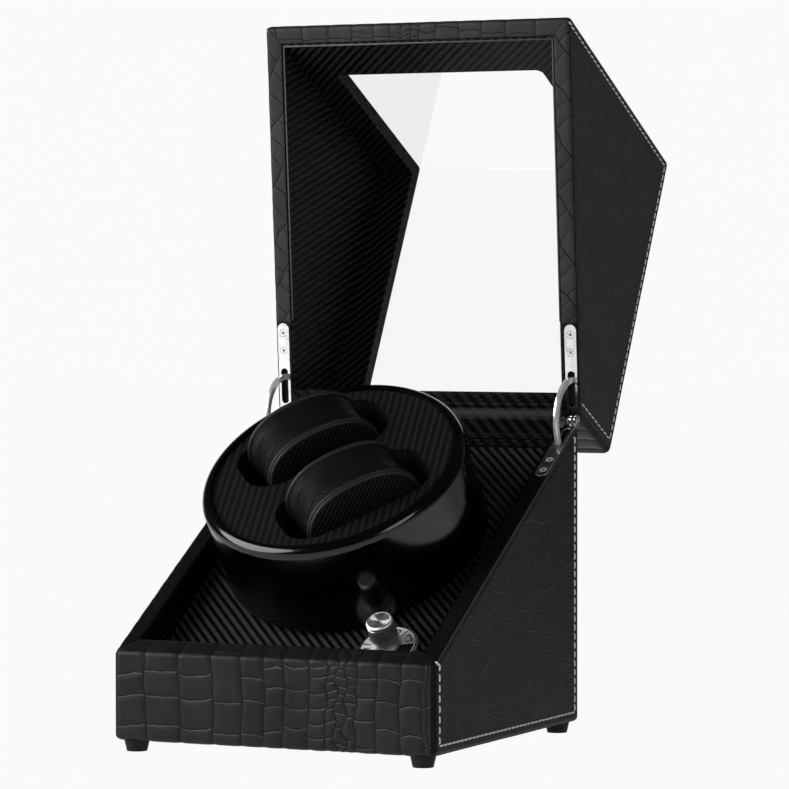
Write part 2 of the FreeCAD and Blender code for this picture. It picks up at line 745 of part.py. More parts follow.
def motor_shaft():
    low = BRACKET_TOP - BRACKET_T - MOTOR_SHAFT_IN
    return rod(MOTOR_SHAFT_R, low, GEAR_TOP, (-GEAR_CENTRES, 0))


def gear_motor():
    """Gearbox and motor can, hung under the bracket."""
    top = BRACKET_TOP - BRACKET_T
    mid, low = top - GEARBOX_L, top - GEARBOX_L - MOTOR_L
    at = (-GEAR_CENTRES, 0)
    body = joined(
        rod(GEARBOX_R, mid, top, at), rod(MOTOR_R, low, mid, at),
        rod(MOTOR_NOSE_R, low - MOTOR_NOSE_L, low, at))
    return body.cut(rod(MOTOR_SHAFT_R + RUN, top - MOTOR_SHAFT_IN - PROUD, top + PROUD, at))


def pillar_places():
    y = BRACKET_Y - PILLAR_INSET
    return [(x, s * y) for x in (BRACKET_X[0] + PILLAR_INSET, BRACKET_X[1] - PILLAR_INSET) for s in (-1, 1)]


def motor_bracket():
    """Plate under the deck that hangs the motor and steadies the shaft's lower end."""
    length = BRACKET_X[1] - BRACKET_X[0]
    low = BRACKET_TOP - BRACKET_T
    body = shifted(rounded_block(length, 2 * BRACKET_Y, BRACKET_R, low, BRACKET_TOP), x=sum(BRACKET_X) / 2)
    low, high = low - PROUD, BRACKET_TOP + PROUD
    return body.cut([rod(SHAFT_R + RUN, low, high), rod(MOTOR_SHAFT_R + SEAT, low, high, (-GEAR_CENTRES, 0))])


def bracket_pillars():
    return [rod(PILLAR_R, BRACKET_TOP, -DECK_T, at) for at in pillar_places()]


# Control

def control_knob():
    low, high = KNOB_FOOT, KNOB_FOOT + KNOB_H
    bore = SWITCH_SHAFT_R + RUN
    return turned([
        (bore, low + KNOB_SINK_H), (KNOB_SINK_R, low + KNOB_SINK_H), (KNOB_SINK_R, low),
        (KNOB_LOW_R, low), (KNOB_TOP_R, high - KNOB_CHAMFER), (KNOB_TOP_R - KNOB_CHAMFER, high),
        (0, high), (0, low + KNOB_BORE_H), (bore, low + KNOB_BORE_H)])


def switch_shaft():
    return rod(SWITCH_SHAFT_R, -DECK_T - SWITCH_SHAFT_IN, KNOB_FOOT + KNOB_BORE_H - RUN)


def mode_switch():
    """Switch body under the deck, with its neck through deck and dial plate."""
    body = joined(
        rod(SWITCH_R, -DECK_T - SWITCH_H, -DECK_T),
        rod(SWITCH_NECK_R, -DECK_T, SWITCH_NECK_TOP))
    return body.cut(rod(SWITCH_SHAFT_R + RUN, -DECK_T - SWITCH_SHAFT_IN - SEAT, SWITCH_NECK_TOP + PROUD))


def switch_nut():
    corners = [Vector(NUT_R * math.cos(a), NUT_R * math.sin(a), DIAL_T)
               for a in [math.radians(60 * k) for k in range(6)]]
    nut = face_of(corners).extrude(Vector(0, 0, NUT_T))
    return nut.cut(rod(SWITCH_NECK_R + RUN, 0, DIAL_T + NUT_T + PROUD))


def dial_plate():
    return rod(DIAL_R, 0, DIAL_T).cut(rod(SWITCH_NECK_R + RUN, -PROUD, DIAL_T + PROUD))


def at_knob(shape):
    return on_deck(shape.translated(KNOB_PLACE))


# Power

def power_inlet():
    """Round socket in the rear panel: flange outside, bore and centre pin."""
    socket = turned([
        (0, -INLET_L), (INLET_R, -INLET_L), (INLET_R, 0), (INLET_FLANGE_R, 0),
        (INLET_FLANGE_R, INLET_FLANGE_T), (INLET_BORE_R, INLET_FLANGE_T),
        (INLET_BORE_R, INLET_FLANGE_T - INLET_BORE_L), (INLET_PIN_R, INLET_FLANGE_T - INLET_BORE_L),
        (INLET_PIN_R, 0), (0, 0)])
    facing_rear = Rotation(X_AXIS, -90)
    return moved(socket, Placement(Vector(INLET_X, CASE_D, UNDERSIDE + INLET_Z), facing_rear))


def board_corners():
    x, y = BOARD_W / 2 - BOARD_INSET, BOARD_D / 2 - BOARD_INSET
    return [(BOARD_X + sx * x, BOARD_Y + sy * y) for sx in (-1, 1) for sy in (-1, 1)]


def board_z():
    return UNDERSIDE + FLOOR_T + BOARD_STAND


def control_board():
    """Board with a chip, a storage capacitor, a driver and a plug header."""
    low, high = board_z(), board_z() + BOARD_T

    def on_board(x, width, depth, base, top):
        across = (BOARD_X + x - width / 2, BOARD_X + x + width / 2)
        return block(across, (BOARD_Y - depth / 2, BOARD_Y + depth / 2), (base, top))
    return joined(
        on_board(0, BOARD_W, BOARD_D, low, high),
        on_board(0, CHIP_W, CHIP_D, high, high + CHIP_H),
        on_board(DRIVER_X, DRIVER_W, DRIVER_D, high, high + DRIVER_H),
        on_board(HEADER_X, HEADER_W, HEADER_D, high, high + HEADER_H),
        rod(CAPACITOR_R, high, high + CAPACITOR_H, (BOARD_X + CAPACITOR_X, BOARD_Y + CAPACITOR_Y)))


def board_pillars():
    return [rod(BOARD_PILLAR_R, UNDERSIDE + FLOOR_T, board_z(), at) for at in board_corners()]


# Assembly

def case_pieces():
    pieces = {}
    shell = base_shell()
    for side, region in wall_regions().items():
        pieces[f"base_{side}_panel"] = shell.common(region)
    for side, board in base_linings().items():
        pieces[f"base_lining_{side}"] = board
    pieces["base_floor"] = base_floor()
    pieces["rubber_feet"] = [shifted(foot(), *at) for at in foot_places()]
    pieces["foot_screws"] = [shifted(foot_screw(), *at) for at in foot_places()]
    pieces["deck_panel"] = deck_panel()
    pieces["deck_cleat_left"] = deck_cleat(-INNER_X)
    pieces["deck_cleat_right"] = deck_cleat(INNER_X - CLEAT_T)
    pieces["power_inlet"] = power_inlet()
    pieces["control_board"] = control_board()
    pieces["board_pillars"] = board_pillars()
    return pieces


def lid_pieces():
    """The lid as it stands open."""
    closed = {}
    shell, cap = lid_shell(), top_region()
    for side, region in wall_regions().items():
        closed[f"lid_{side}_panel"] = shell.common(region).cut(cap)
    closed["lid_top_panel"] = shell.common(cap)
    closed["lid_window"] = window_sheet()
    for side, board in lid_linings().items():
        closed[f"lid_lining_{side}"] = board
    return {name: moved(shape, LID_POSE) for name, shape in closed.items()}


def hinge_pieces():
    pieces = {"base_hinge_screws": [], "lid_hinge_screws": []}
    lid_knuckles, base_knuckles = knuckle_spans()
    base_leaf = leaf(base_knuckles, lid_knuckles)
    lid_leaf = leaf(lid_knuckles, base_knuckles).mirror(ORIGIN, Vector(0, 0, 1))
    for side, x in (("left", -HINGE_X), ("right", HINGE_X)):
        frame = hinge_frame(x)
        opened = LID_POSE.multiply(frame)
        pieces[f"hinge_base_leaf_{side}"] = moved(base_leaf, frame)
        pieces[f"hinge_lid_leaf_{side}"] = moved(lid_leaf, opened)
        pieces[f"hinge_pin_{side}"] = moved(hinge_pin(), frame)
        pieces[f"quadrant_stay_{side}"] = moved(quadrant_stay(), frame)
        pieces["base_hinge_screws"] += [moved(s, frame) for s in leaf_screws(False)]
        pieces["lid_hinge_screws"] += [moved(s, opened) for s in leaf_screws(True)]
    return pieces


def drum_pieces():
    upright = {
        "drum_bowl": drum_bowl(),
        "drum_face": drum_face(),
        "drum_shaft": drum_shaft(),
        "hub_screw": hub_screw(),
        "bearing_bush": bearing_bush(),
        "thrust_washer": thrust_washer(),
        "drive_gear": drive_gear(),
        "motor_pinion": motor_pinion(),
        "motor_shaft": motor_shaft(),
        "gear_motor": gear_motor(),
        "motor_bracket": motor_bracket(),
    }
    for place, cup in in_wells(well_cup()).items():
        upright[f"well_cup_{place}"] = cup
    for place, cushion in in_wells(watch_cushion()).items():
        upright[f"watch_cushion_{place}"] = cushion
    pieces = {name: on_deck(shape) for name, shape in upright.items()}
    pieces["bracket_pillars"] = [on_deck(p) for p in bracket_pillars()]
    return pieces


def control_pieces():
    return {
        "control_knob": at_knob(control_knob()),
        "switch_shaft": at_knob(switch_shaft()),
        "mode_switch": at_knob(mode_switch()),
        "switch_nut": at_knob(switch_nut()),
        "dial_plate": at_knob(dial_plate()),
    }


def open_reach():
    """How far back the open lid reaches: its round front top edge."""
    return LID_POSE.multVec(Vector(0, EDGE_R, TOP - EDGE_R)).y + EDGE_R


def write(pieces):
    os.makedirs("parts", exist_ok=True)
    to_middle = Vector(0, -open_reach() / 2, 0)
    for name, shape in sorted(pieces.items()):
        solids = [s for part in (shape if isinstance(shape, list) else [shape]) for s in part.Solids]
        whole = solids[0] if len(solids) == 1 else Part.makeCompound(solids)
        whole.translated(to_middle).exportStep(f"parts/{name}.step")


def main():
    write({**case_pieces(), **lid_pieces(), **hinge_pieces(), **drum_pieces(), **control_pieces()})


main()
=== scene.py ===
import json
import math

import bpy
import numpy as np
from mathutils import Matrix, Vector


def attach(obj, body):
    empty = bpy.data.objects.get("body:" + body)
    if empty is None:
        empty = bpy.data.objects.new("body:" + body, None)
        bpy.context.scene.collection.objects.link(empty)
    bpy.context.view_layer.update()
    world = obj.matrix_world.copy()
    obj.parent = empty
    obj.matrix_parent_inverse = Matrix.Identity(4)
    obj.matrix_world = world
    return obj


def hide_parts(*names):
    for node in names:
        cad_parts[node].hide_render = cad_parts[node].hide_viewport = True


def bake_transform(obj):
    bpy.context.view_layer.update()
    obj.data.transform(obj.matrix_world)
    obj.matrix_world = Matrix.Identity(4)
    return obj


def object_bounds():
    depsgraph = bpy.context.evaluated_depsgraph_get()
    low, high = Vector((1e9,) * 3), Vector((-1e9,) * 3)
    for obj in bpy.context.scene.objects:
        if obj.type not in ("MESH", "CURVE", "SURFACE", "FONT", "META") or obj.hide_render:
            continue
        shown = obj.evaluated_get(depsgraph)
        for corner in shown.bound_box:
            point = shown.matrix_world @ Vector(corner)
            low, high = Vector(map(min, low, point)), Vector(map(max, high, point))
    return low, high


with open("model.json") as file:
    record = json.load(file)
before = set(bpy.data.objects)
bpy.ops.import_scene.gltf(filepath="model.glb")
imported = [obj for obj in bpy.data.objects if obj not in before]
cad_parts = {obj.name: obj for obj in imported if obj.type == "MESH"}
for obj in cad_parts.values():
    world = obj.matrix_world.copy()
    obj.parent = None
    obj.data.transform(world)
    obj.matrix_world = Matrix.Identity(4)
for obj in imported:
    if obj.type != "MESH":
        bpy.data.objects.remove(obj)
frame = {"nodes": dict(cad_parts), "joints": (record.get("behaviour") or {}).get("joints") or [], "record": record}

CAD_BOX = [list(corner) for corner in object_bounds()]
NODES = frame["nodes"]
JOINTS = {joint["name"]: joint for joint in frame["joints"]}
MM = 0.001
ACROSS = np.array([1.0, 0.0, 0.0])

# The box, in millimetres: x across, y back from the front face, z up from the table
CASE_W = 180.0
CASE_D = 180.0
UNDERSIDE = 6.0
TOP = 210.0
PANEL_T = 9.5
LINING_T = 1.2
EDGE_R = 2.5
SPLIT_FRONT = 51.0
SPLIT_REAR = 163.5
RIM_GAP = 0.8
WINDOW_HALF = 66.0
WINDOW_LOW = 85.0
WINDOW_REAR = 155.0
INLET_X = 50.0
INLET_Z = 28.0
INLET_R = 7.0
INLET_SOFT = 1.5
HALF_W = CASE_W / 2
SPLIT_RISE = (SPLIT_REAR - SPLIT_FRONT) / CASE_D
SPLIT_ANGLE = math.atan(SPLIT_RISE)
SPLIT_COS = math.cos(SPLIT_ANGLE)
SPLIT_SIN = math.sin(SPLIT_ANGLE)
RIM_STEP = RIM_GAP / 2 / SPLIT_COS
FRONT_Y = CAD_BOX[0][1] / MM
PIVOT = np.array(JOINTS["lid_hinge"]["pos_m"]) / MM
LID_TURN = math.radians(JOINTS["lid_hinge"]["range_deg"][0])

# Hinge leaves, let into the rims
HINGE_X = HALF_W - PANEL_T / 2
HINGE_OUT = 2.0
LEAF_L = 51.0
LEAF_SCREWS = (36.0, 45.5)
LEAF_BEVEL = 0.6
STAY_BEVEL = 0.4
WELD_REACH = 0.01
LEAF_TIP = CASE_D + HINGE_OUT - LEAF_L * SPLIT_COS - 0.8
LEAF_SIDE = HALF_W - 1.0
BESIDE_LEAF = HINGE_X - 4.2
LEAF_NEAR = 2.0
LEAF_DEEP = 4.0
LEAF_HIGH = 5.0

# The tilted deck and what stands on it
DECK_N = np.array(JOINTS["drum_spin"]["axis"])
DECK_V = np.array([0.0, DECK_N[2], -DECK_N[1]])
DECK_AXES = np.stack([ACROSS, DECK_V, DECK_N])
DECK_TILT = math.atan2(-DECK_N[1], DECK_N[2])
DRUM_TURN = math.radians(44.0)
CUSHION_HALF_L = 31.0
CUSHION_HALF_H = 22.0
KNOB_FOOT = np.array(JOINTS["knob_turn"]["pos_m"]) / MM
KNOB_R = 7.4
KNOB_TOP_R = 7.0
KNOB_LOW = 1.4
KNOB_H = 17.0
DIAL_T = 0.8


# Placing things

def in_case(points):
    """Box millimetres to the shared frame, in metres."""
    return (np.asarray(points, float) + [0.0, FRONT_Y, 0.0]) * MM


def in_lid(points):
    """As in_case, for the lid, which is drawn shut and stands open."""
    moved = np.asarray(points, float) + [0.0, FRONT_Y, 0.0] - PIVOT
    cos, sin = math.cos(LID_TURN), math.sin(LID_TURN)
    turned = np.stack([
        moved[..., 0],
        moved[..., 1] * cos - moved[..., 2] * sin,
        moved[..., 1] * sin + moved[..., 2] * cos], axis=-1)
    return (turned + PIVOT) * MM


def home(lid):
    """How points of the lid or the base are placed, and the body that they ride on."""
    return (in_lid, "lid") if lid else (in_case, "case")


def on_deck(points, foot):
    """Points given across, up the slope and out of the deck, from a foot on it."""
    return (np.asarray(points, float) @ DECK_AXES + foot) * MM


def rim_z(y, step=0.0):
    return SPLIT_FRONT + SPLIT_RISE * y + step


def smooth(value):
    value = np.clip(value, 0.0, 1.0)
    return value * value * (3 - 2 * value)


def circle(count):
    return np.linspace(0, 2 * math.pi, count, endpoint=False)


def unit(vectors):
    return vectors / np.linalg.norm(vectors, axis=-1, keepdims=True)


# Meshes

def new_mesh(name, points, faces):
    mesh = bpy.data.meshes.new(name)
    mesh.from_pydata([tuple(p) for p in points], [], [tuple(f) for f in faces])
    return mesh


def add_object(name, data):
    made = bpy.data.objects.new(name, data)
    bpy.context.scene.collection.objects.link(made)
    return made


def mesh_piece(name, points, faces, material, body, shade_smooth=True):
    mesh = new_mesh(name, points, faces)
    if shade_smooth:
        mesh.shade_smooth()
    mesh.materials.append(material)
    piece = add_object(name, mesh)
    if body:
        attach(piece, body)
    return piece


def add_map(piece, name, chart):
    """A map over a piece's face corners."""
    layer = piece.data.uv_layers.new(name=name)
    layer.data.foreach_set("uv", chart.reshape(-1).astype(np.float32))


def grid_faces(rows, columns, loop=False):
    """Quads over a grid of points, numbered row by row."""
    i, j = np.meshgrid(np.arange(rows - 1), np.arange(columns if loop else columns - 1), indexing="ij")
    a, b = i * columns + j, i * columns + (j + 1) % columns
    return np.stack([a, b, b + columns, a + columns], axis=-1).reshape(-1, 4)


def tube_faces(rings, sides):
    """Faces of a tube of rings, closed at both ends."""
    last = (rings - 1) * sides
    faces = [tuple(f) for f in grid_faces(rings, sides, loop=True)]
    return faces + [tuple(reversed(range(sides))), tuple(range(last, last + sides))]


def joined_parts(parts):
    """Several (points, faces) as one."""
    points, faces, start = [], [], 0
    for part_points, part_faces in parts:
        points.extend(tuple(p) for p in part_points)
        faces.extend(tuple(int(k) + start for k in face) for face in part_faces)
        start += len(part_points)
    return points, faces


# Materials

class Signal:
    """A node's output that takes plain arithmetic."""

    def __init__(self, graph, socket):
        self.graph = graph
        self.socket = socket

    def __add__(self, other):
        return self.graph.calc("ADD", self, other)

    def __mul__(self, other):
        return self.graph.calc("MULTIPLY", self, other)

    def __sub__(self, other):
        return self.graph.calc("SUBTRACT", self, other)

    def __rsub__(self, other):
        return self.graph.calc("SUBTRACT", other, self)

    def __truediv__(self, other):
        return self.graph.calc("DIVIDE", self, other)

    __radd__ = __add__


class Graph:
    """A node tree, with short calls for the nodes used here."""

    def __init__(self, tree):
        self.tree = tree

    def feed(self, socket, value):
        if isinstance(value, Signal):
            self.tree.links.new(value.socket, socket)
        elif isinstance(value, (tuple, list)) and socket.type == "RGBA":
            socket.default_value = (*value[:3], 1.0)
        else:
            socket.default_value = value

    def outputs(self, kind, inputs=(), **settings):
        node = self.tree.nodes.new("ShaderNode" + kind)
        for key, value in settings.items():
            setattr(node, key, value)
        for key, value in dict(inputs).items():
            self.feed(node.inputs[key], value)
        return node.outputs

    def node(self, kind, inputs=(), output=0, **settings):
        return Signal(self, self.outputs(kind, inputs, **settings)[output])

    def calc(self, operation, a, b=0.0):
        return self.node("Math", {0: a, 1: b}, operation=operation)

    def vector(self, operation, a, b):
        return self.node("VectorMath", {0: a, 1: b}, operation=operation)

    def scaled(self, vector, factor):
        return self.node("VectorMath", {0: vector, "Scale": factor}, operation="SCALE")

    def length(self, vector):
        return self.node("VectorMath", {0: vector}, "Value", operation="LENGTH")

    def split(self, vector):
        return [Signal(self, socket) for socket in self.outputs("SeparateXYZ", {0: vector})]

    def spread(self, value, low, high, to_low=0.0, to_high=1.0):
        """A value's range moved to another, with soft ends."""
        inputs = {"Value": value, "From Min": low, "From Max": high, "To Min": to_low, "To Max": to_high}
        return self.node("MapRange", inputs, interpolation_type="SMOOTHSTEP")

    def fade(self, value, low, high, most=1.0):
        """Falls to nothing as a value rises."""
        return self.spread(value, low, high, most, 0.0)

    def ray(self, kind):
        return self.node("LightPath", output=kind)


class Paint(Graph):
    """A material. Values that are the same all over it are given by socket, with _ for a space."""

    def __init__(self, name, **values):
        self.material = bpy.data.materials.new(name)
        self.material.use_nodes = True
        super().__init__(self.material.node_tree)
        self.shader = self.tree.nodes["Principled BSDF"]
        for key, value in values.items():
            self.set(key.replace("_", " "), value)

    def set(self, socket, value):
        self.feed(self.shader.inputs[socket], value)

    def done(self, colour, rough, normal):
        self.set("Base Color", colour)
        self.set("Roughness", rough)
        self.set("Normal", normal)
        return self.material

    def mix(self, share, a, b):
        return self.node("Mix", {0: share, 6: a, 7: b}, output=2, data_type="RGBA")

    def place(self, turn=(0.0, 0.0, 0.0), stretch=(1.0, 1.0, 1.0)):
        """The piece's own coordinates, in millimetres."""
        own = self.node("TexCoord", output="Object")
        size = tuple(s / MM for s in stretch)
        return self.node("Mapping", {"Vector": own, "Rotation": turn, "Scale": size})

    def chart(self, name):
        return self.node("UVMap", uv_map=name)

    def noise(self, where, scale, detail=3.0, rough=0.55, output=0):
        inputs = {"Vector": where, "Scale": scale, "Detail": detail, "Roughness": rough}
        return self.node("TexNoise", inputs, output)

    def cells(self, where, scale):
        return self.node("TexVoronoi", {"Vector": where, "Scale": scale}, feature="DISTANCE_TO_EDGE")

    def bump(self, height, distance, strength=1.0, under=None):
        inputs = {"Height": height, "Distance": distance * MM, "Strength": strength}
        if under is not None:
            inputs["Normal"] = under
        return self.node("Bump", inputs)


def toned(colour, factor):
    return [channel * factor for channel in colour]


GRAIN_DEPTH = 0.05


def leather_grain(paint, where, colour, wear, clouds=0.2):
    """Fine pores and soft cloudy tone, with the high spots rubbed a little paler."""
    cloud = paint.spread(paint.noise(where, 0.035), 0.35, 0.7)
    tone = paint.mix(cloud, toned(colour, 1 - clouds), toned(colour, 1 + clouds))
    rubbed = paint.spread(paint.node("NewGeometry", output="Pointiness"), 0.505, 0.56)
    tone = paint.mix(rubbed * 0.5, tone, toned(colour, wear))
    return tone, paint.cells(where, 1.5) * 0.8 + paint.noise(where, 2.6, 2.0) * 0.6


def croc_leather(name, colour, depth, width, gloss, darkness, lips=1.0):
    """Embossed leather. The map named Scales counts scales across and along, so whole numbers are grooves,
    and the map named Sizes gives each scale's width and height, in millimetres."""
    paint = Paint(name, Specular_IOR_Level=0.16)
    where = paint.place()
    tone, grain = leather_grain(paint, where, colour, 1.9)
    wobble = paint.vector("SUBTRACT", paint.noise(where, 0.3, 2.0, 0.5, "Color"), (0.5, 0.5, 0.5))
    count = paint.vector("ADD", paint.chart("Scales"), paint.scaled(wobble, 0.05))
    across_count, along_count = paint.split(count)[:2]
    wide, tall = paint.split(paint.chart("Sizes"))[:2]
    across = paint.calc("PINGPONG", across_count, 0.5) * wide
    along = paint.calc("PINGPONG", along_count, 0.5) * tall
    near = paint.node("Math", {0: across, 1: along, 2: 0.35}, operation="SMOOTH_MIN")
    groove = paint.fade(near, 0.0, width)
    lip = paint.fade(near, 0.0, width * 4.5)
    # Short ticks beside the grooves that run along
    left_of = (1.0 - paint.calc("FRACT", across_count)) * wide
    zone = paint.spread(left_of, 0.3, 0.9) * paint.fade(left_of, 1.6, 3.0)
    zone = zone * paint.spread(paint.noise(where, 0.12), 0.4, 0.55)
    ticks = paint.calc("SINE", along_count * tall * 4.4) * zone
    # Painted highlight: a pale lip below the grooves that run across, where light from above would catch it
    below = paint.calc("FRACT", along_count) * tall
    lit_lip = paint.spread(below, 0.35, 0.55) * paint.fade(below, 0.65, 1.05)
    lit_lip = lit_lip * paint.spread(across, 0.3, 0.9, 0.0, 0.9 * lips)
    lit_lip = lit_lip * paint.spread(paint.noise(where, 0.07, 2.0), 0.3, 0.55, 0.35, 1.0)
    tone = paint.mix(lit_lip, tone, toned(colour, 5.5))
    # Painted shade: the grooves darkened almost to black, and the ticks beside them in short dark dashes
    tone = paint.mix(groove * darkness + ticks * 0.5, tone, toned(colour, 0.05))
    rough = paint.spread(paint.noise(where, 0.12, 4.0), 0.3, 0.7, gloss - 0.06, gloss + 0.08)
    relief = paint.bump(groove * -1.0 + lip * -0.25 - ticks * 0.3, depth)
    return paint.done(tone, rough + groove * 0.25, paint.bump(grain, GRAIN_DEPTH, 0.7, relief))


def creased_leather(name, colour, families, shine=0.1, patchy=(0.45, 0.6), tint=2.8, pebbled=0.16):
    """Smoother leather for the flanks: pebble grain and raised creases, drawn on a map in millimetres.
    Each family of creases has its turn, spacing, wander, width and weight."""
    paint = Paint(name, Specular_IOR_Level=shine)
    where = paint.place()
    tone, grain = leather_grain(paint, where, colour, 1.5, 0.07)
    chart = paint.chart("Scales")
    lines = 0.0
    for turn, spacing, wander, width, weight in families:
        inputs = {"Vector": chart, "Rotation": (0.0, 0.0, turn), "Location": (spacing, 0.0, 0.0)}
        turned = paint.node("Mapping", inputs)
        drift = paint.noise(turned, 0.035, 2.5, 0.5) * wander
        band = (paint.split(turned)[1] + drift) / spacing
        off = paint.calc("PINGPONG", band, 0.5) * spacing
        longer = paint.node("Mapping", {"Vector": turned, "Scale": (0.45, 1.0, 1.0)})
        alive = paint.spread(paint.noise(longer, 0.05 + 0.12 / spacing, 2.0), *patchy, 0.0, weight)
        lines = lines + paint.fade(off, 0.0, width) * alive
    pebbles = paint.spread(paint.cells(chart, 0.55), 0.0, 0.3)
    # The creases are drawn paler: wear on their ridges, and painted highlight on them
    tone = paint.mix(lines * 0.5, tone, toned(colour, tint))
    rough = paint.spread(paint.noise(where, 0.1, 4.0), 0.3, 0.7, 0.5, 0.57)
    relief = paint.bump(lines + pebbles * 0.6, pebbled)
    return paint.done(tone, rough, paint.bump(grain, GRAIN_DEPTH, 0.8, relief))


def side_leather(name, colour, creased, shine=0.1):
    """Softer leather: shallow wandering creases, pebble grain."""
    paint = Paint(name, Specular_IOR_Level=shine)
    where = paint.place()
    tone, grain = leather_grain(paint, where, colour, 1.7)
    drift = paint.scaled(paint.noise(where, 0.06, 3.0, 0.5, "Color"), 14.0)
    moved = paint.vector("ADD", where, drift)
    broken = paint.spread(paint.noise(where, 0.05), 0.42, 0.6)
    patches = paint.spread(paint.noise(where, 0.03, 2.0), 0.45, 0.65, 0.0, 0.5)
    lines = paint.fade(paint.cells(moved, 0.085), 0.0, 0.09) * broken
    lines = lines + paint.fade(paint.cells(moved, 0.3), 0.0, 0.1) * patches
    # Painted shade: the creases are darkened
    tone = paint.mix(lines * 0.4, tone, toned(colour, 0.4))
    rough = paint.spread(paint.noise(where, 0.1, 4.0), 0.3, 0.7, 0.42, 0.55)
    relief = paint.bump(lines * -creased, 0.22)
    return paint.done(tone, rough, paint.bump(grain, GRAIN_DEPTH, 0.8, relief))


CARBON_LIGHT = (0.026, 0.026, 0.0264)
CARBON_DARK = (0.0004, 0.0004, 0.00045)


def carbon_cloth(
        name, turn, axes, light=CARBON_LIGHT, dark=CARBON_DARK, pitch=1.38, lean=1.0, chart=None, fold=None):
    """Twill: each tow passes over two and under two, which steps into slanting stripes. It lies on the
    piece's own axes, or on a map in millimetres. A fold, given by its reach, strength and tone, makes it paler
    along the map's middle line: a painted highlight on the roll."""
    paint = Paint("carbon_" + name, Specular_IOR_Level=0.05)
    places = paint.split(paint.chart(chart) if chart else paint.place(turn))
    a = places[axes[0]] / pitch
    b = places[axes[1]] / (pitch * lean)
    steps = paint.calc("FLOOR", a) + paint.calc("FLOOR", b)
    over = paint.calc("LESS_THAN", paint.calc("FRACT", steps * 0.25), 0.49)
    round_a, round_b = [paint.calc("SINE", paint.calc("FRACT", way) * math.pi) for way in (a, b)]
    tow = over * round_b + (1.0 - over) * round_a
    strands = paint.noise(paint.place(turn, (0.35, 5.0, 0.35)), 1.0, 2.0)
    pale = paint.mix(paint.spread(strands, 0.3, 0.7), toned(light, 0.7), light)
    # Tows that lie over are pale and those under are dark: partly the twill's own pattern, partly painted sheen
    # for how each way of tow catches light
    tone = paint.mix(over, dark, pale)
    # Painted shade at the sides of each rounded tow
    tone = paint.mix(paint.fade(tow, 0.0, 0.5, 0.8), tone, toned(dark, 0.6))
    if fold:
        # Painted highlight along the roll of the cloth
        reach, strength, paler = fold
        ridge = paint.fade(paint.calc("ABSOLUTE", places[1]), 0.0, reach, strength)
        tone = paint.mix(ridge, tone, toned(light, paler))
    return paint.done(tone, paint.spread(strands, 0.2, 0.8, 0.37, 0.52), paint.bump(tow + over * 0.6, 0.12))


def gloss_lacquer(name, colour):
    """Polished black: a deep coat with the faintest orange peel and hairlines."""
    paint = Paint(name)
    where = paint.place()
    tone = paint.mix(paint.noise(where, 0.05), colour, toned(colour, 1.5))
    hairs = paint.noise(paint.place(stretch=(0.3, 4.0, 4.0)), 1.0, 2.0)
    peel = paint.bump(paint.noise(where, 0.25, 1.0), 0.012)
    return paint.done(tone, paint.spread(hairs, 0.4, 0.8, 0.11, 0.17), peel)


ROLLED = (1.0, 0.2, 0.2)
CUT = (0.3, 3.0, 3.0)


def worked_metal(name, colour, rough, stretch, metallic=1.0, marks=0.01):
    """Metal with fine tool lines along one way and a little tarnish."""
    paint = Paint(name, Metallic=metallic)
    lines = paint.noise(paint.place(stretch=stretch), 1.0)
    stain = paint.spread(paint.noise(paint.place(), 0.15, 4.0), 0.4, 0.75)
    tone = paint.mix(stain, colour, toned(colour, 0.82))
    return paint.done(tone, paint.spread(lines, 0.3, 0.7, rough * 0.7, rough * 1.4), paint.bump(lines, marks))


def turned_metal(name, colour, rough):
    """A lathe's face: rings of slightly different polish, and a sheen that runs round them."""
    paint = Paint(name, Metallic=0.95, Anisotropic=0.92)
    where = paint.place()
    radius = paint.length(paint.vector("MULTIPLY", where, (1.0, 1.0, 0.0)))
    rings = paint.node("TexNoise", {"W": radius, "Scale": 7.0, "Detail": 2.0}, noise_dimensions="1D")
    stain = paint.spread(paint.noise(where, 0.2), 0.4, 0.75)
    tone = paint.mix(stain, colour, toned(colour, 0.85))
    paint.set("Tangent", paint.node("Tangent", direction_type="RADIAL", axis="Z"))
    polish = paint.spread(rings, 0.3, 0.7, rough * 0.75, rough * 1.3)
    return paint.done(tone, polish, paint.bump(rings, 0.003))


def moulded(name, colour, rough, grain=0.6, specular=0.35):
    """Moulded plastic or rubber: fine spark texture and uneven sheen."""
    paint = Paint(name, Specular_IOR_Level=specular)
    where = paint.place()
    cloud = paint.noise(where, 0.12, 4.0)
    tone = paint.mix(cloud, toned(colour, 0.75), toned(colour, 1.25))
    sparks = paint.bump(paint.noise(where, 2.2, 2.0), 0.05, grain)
    return paint.done(tone, paint.spread(cloud, 0.3, 0.7, rough - 0.06, rough + 0.08), sparks)


def clear_sheet(name):
    """Clear acrylic, with faint waviness and wiping marks."""
    paint = Paint(name, IOR=1.28, Transmission_Weight=1.0)
    where = paint.place()
    tone = paint.mix(paint.noise(where, 0.01), (0.985, 0.995, 0.992), (0.996, 0.999, 0.998))
    wipes = paint.noise(paint.place(stretch=(0.02, 0.3, 0.3)), 1.0)
    waves = paint.bump(paint.noise(where, 0.01, 1.0), 0.02)
    return paint.done(tone, paint.spread(wipes, 0.5, 0.8, 0.0, 0.02), waves)


def fibreboard(name, colour):
    """Pressed fibres, as a board's bare face or cut edge shows them."""
    paint = Paint(name)
    fibres = paint.noise(paint.place(stretch=(1.0, 0.4, 1.0)), 0.8, 5.0, 0.7)
    tone = paint.mix(fibres, toned(colour, 0.6), toned(colour, 1.4))
    return paint.done(tone, paint.spread(fibres, 0.3, 0.7, 0.7, 0.9), paint.bump(fibres, 0.1))


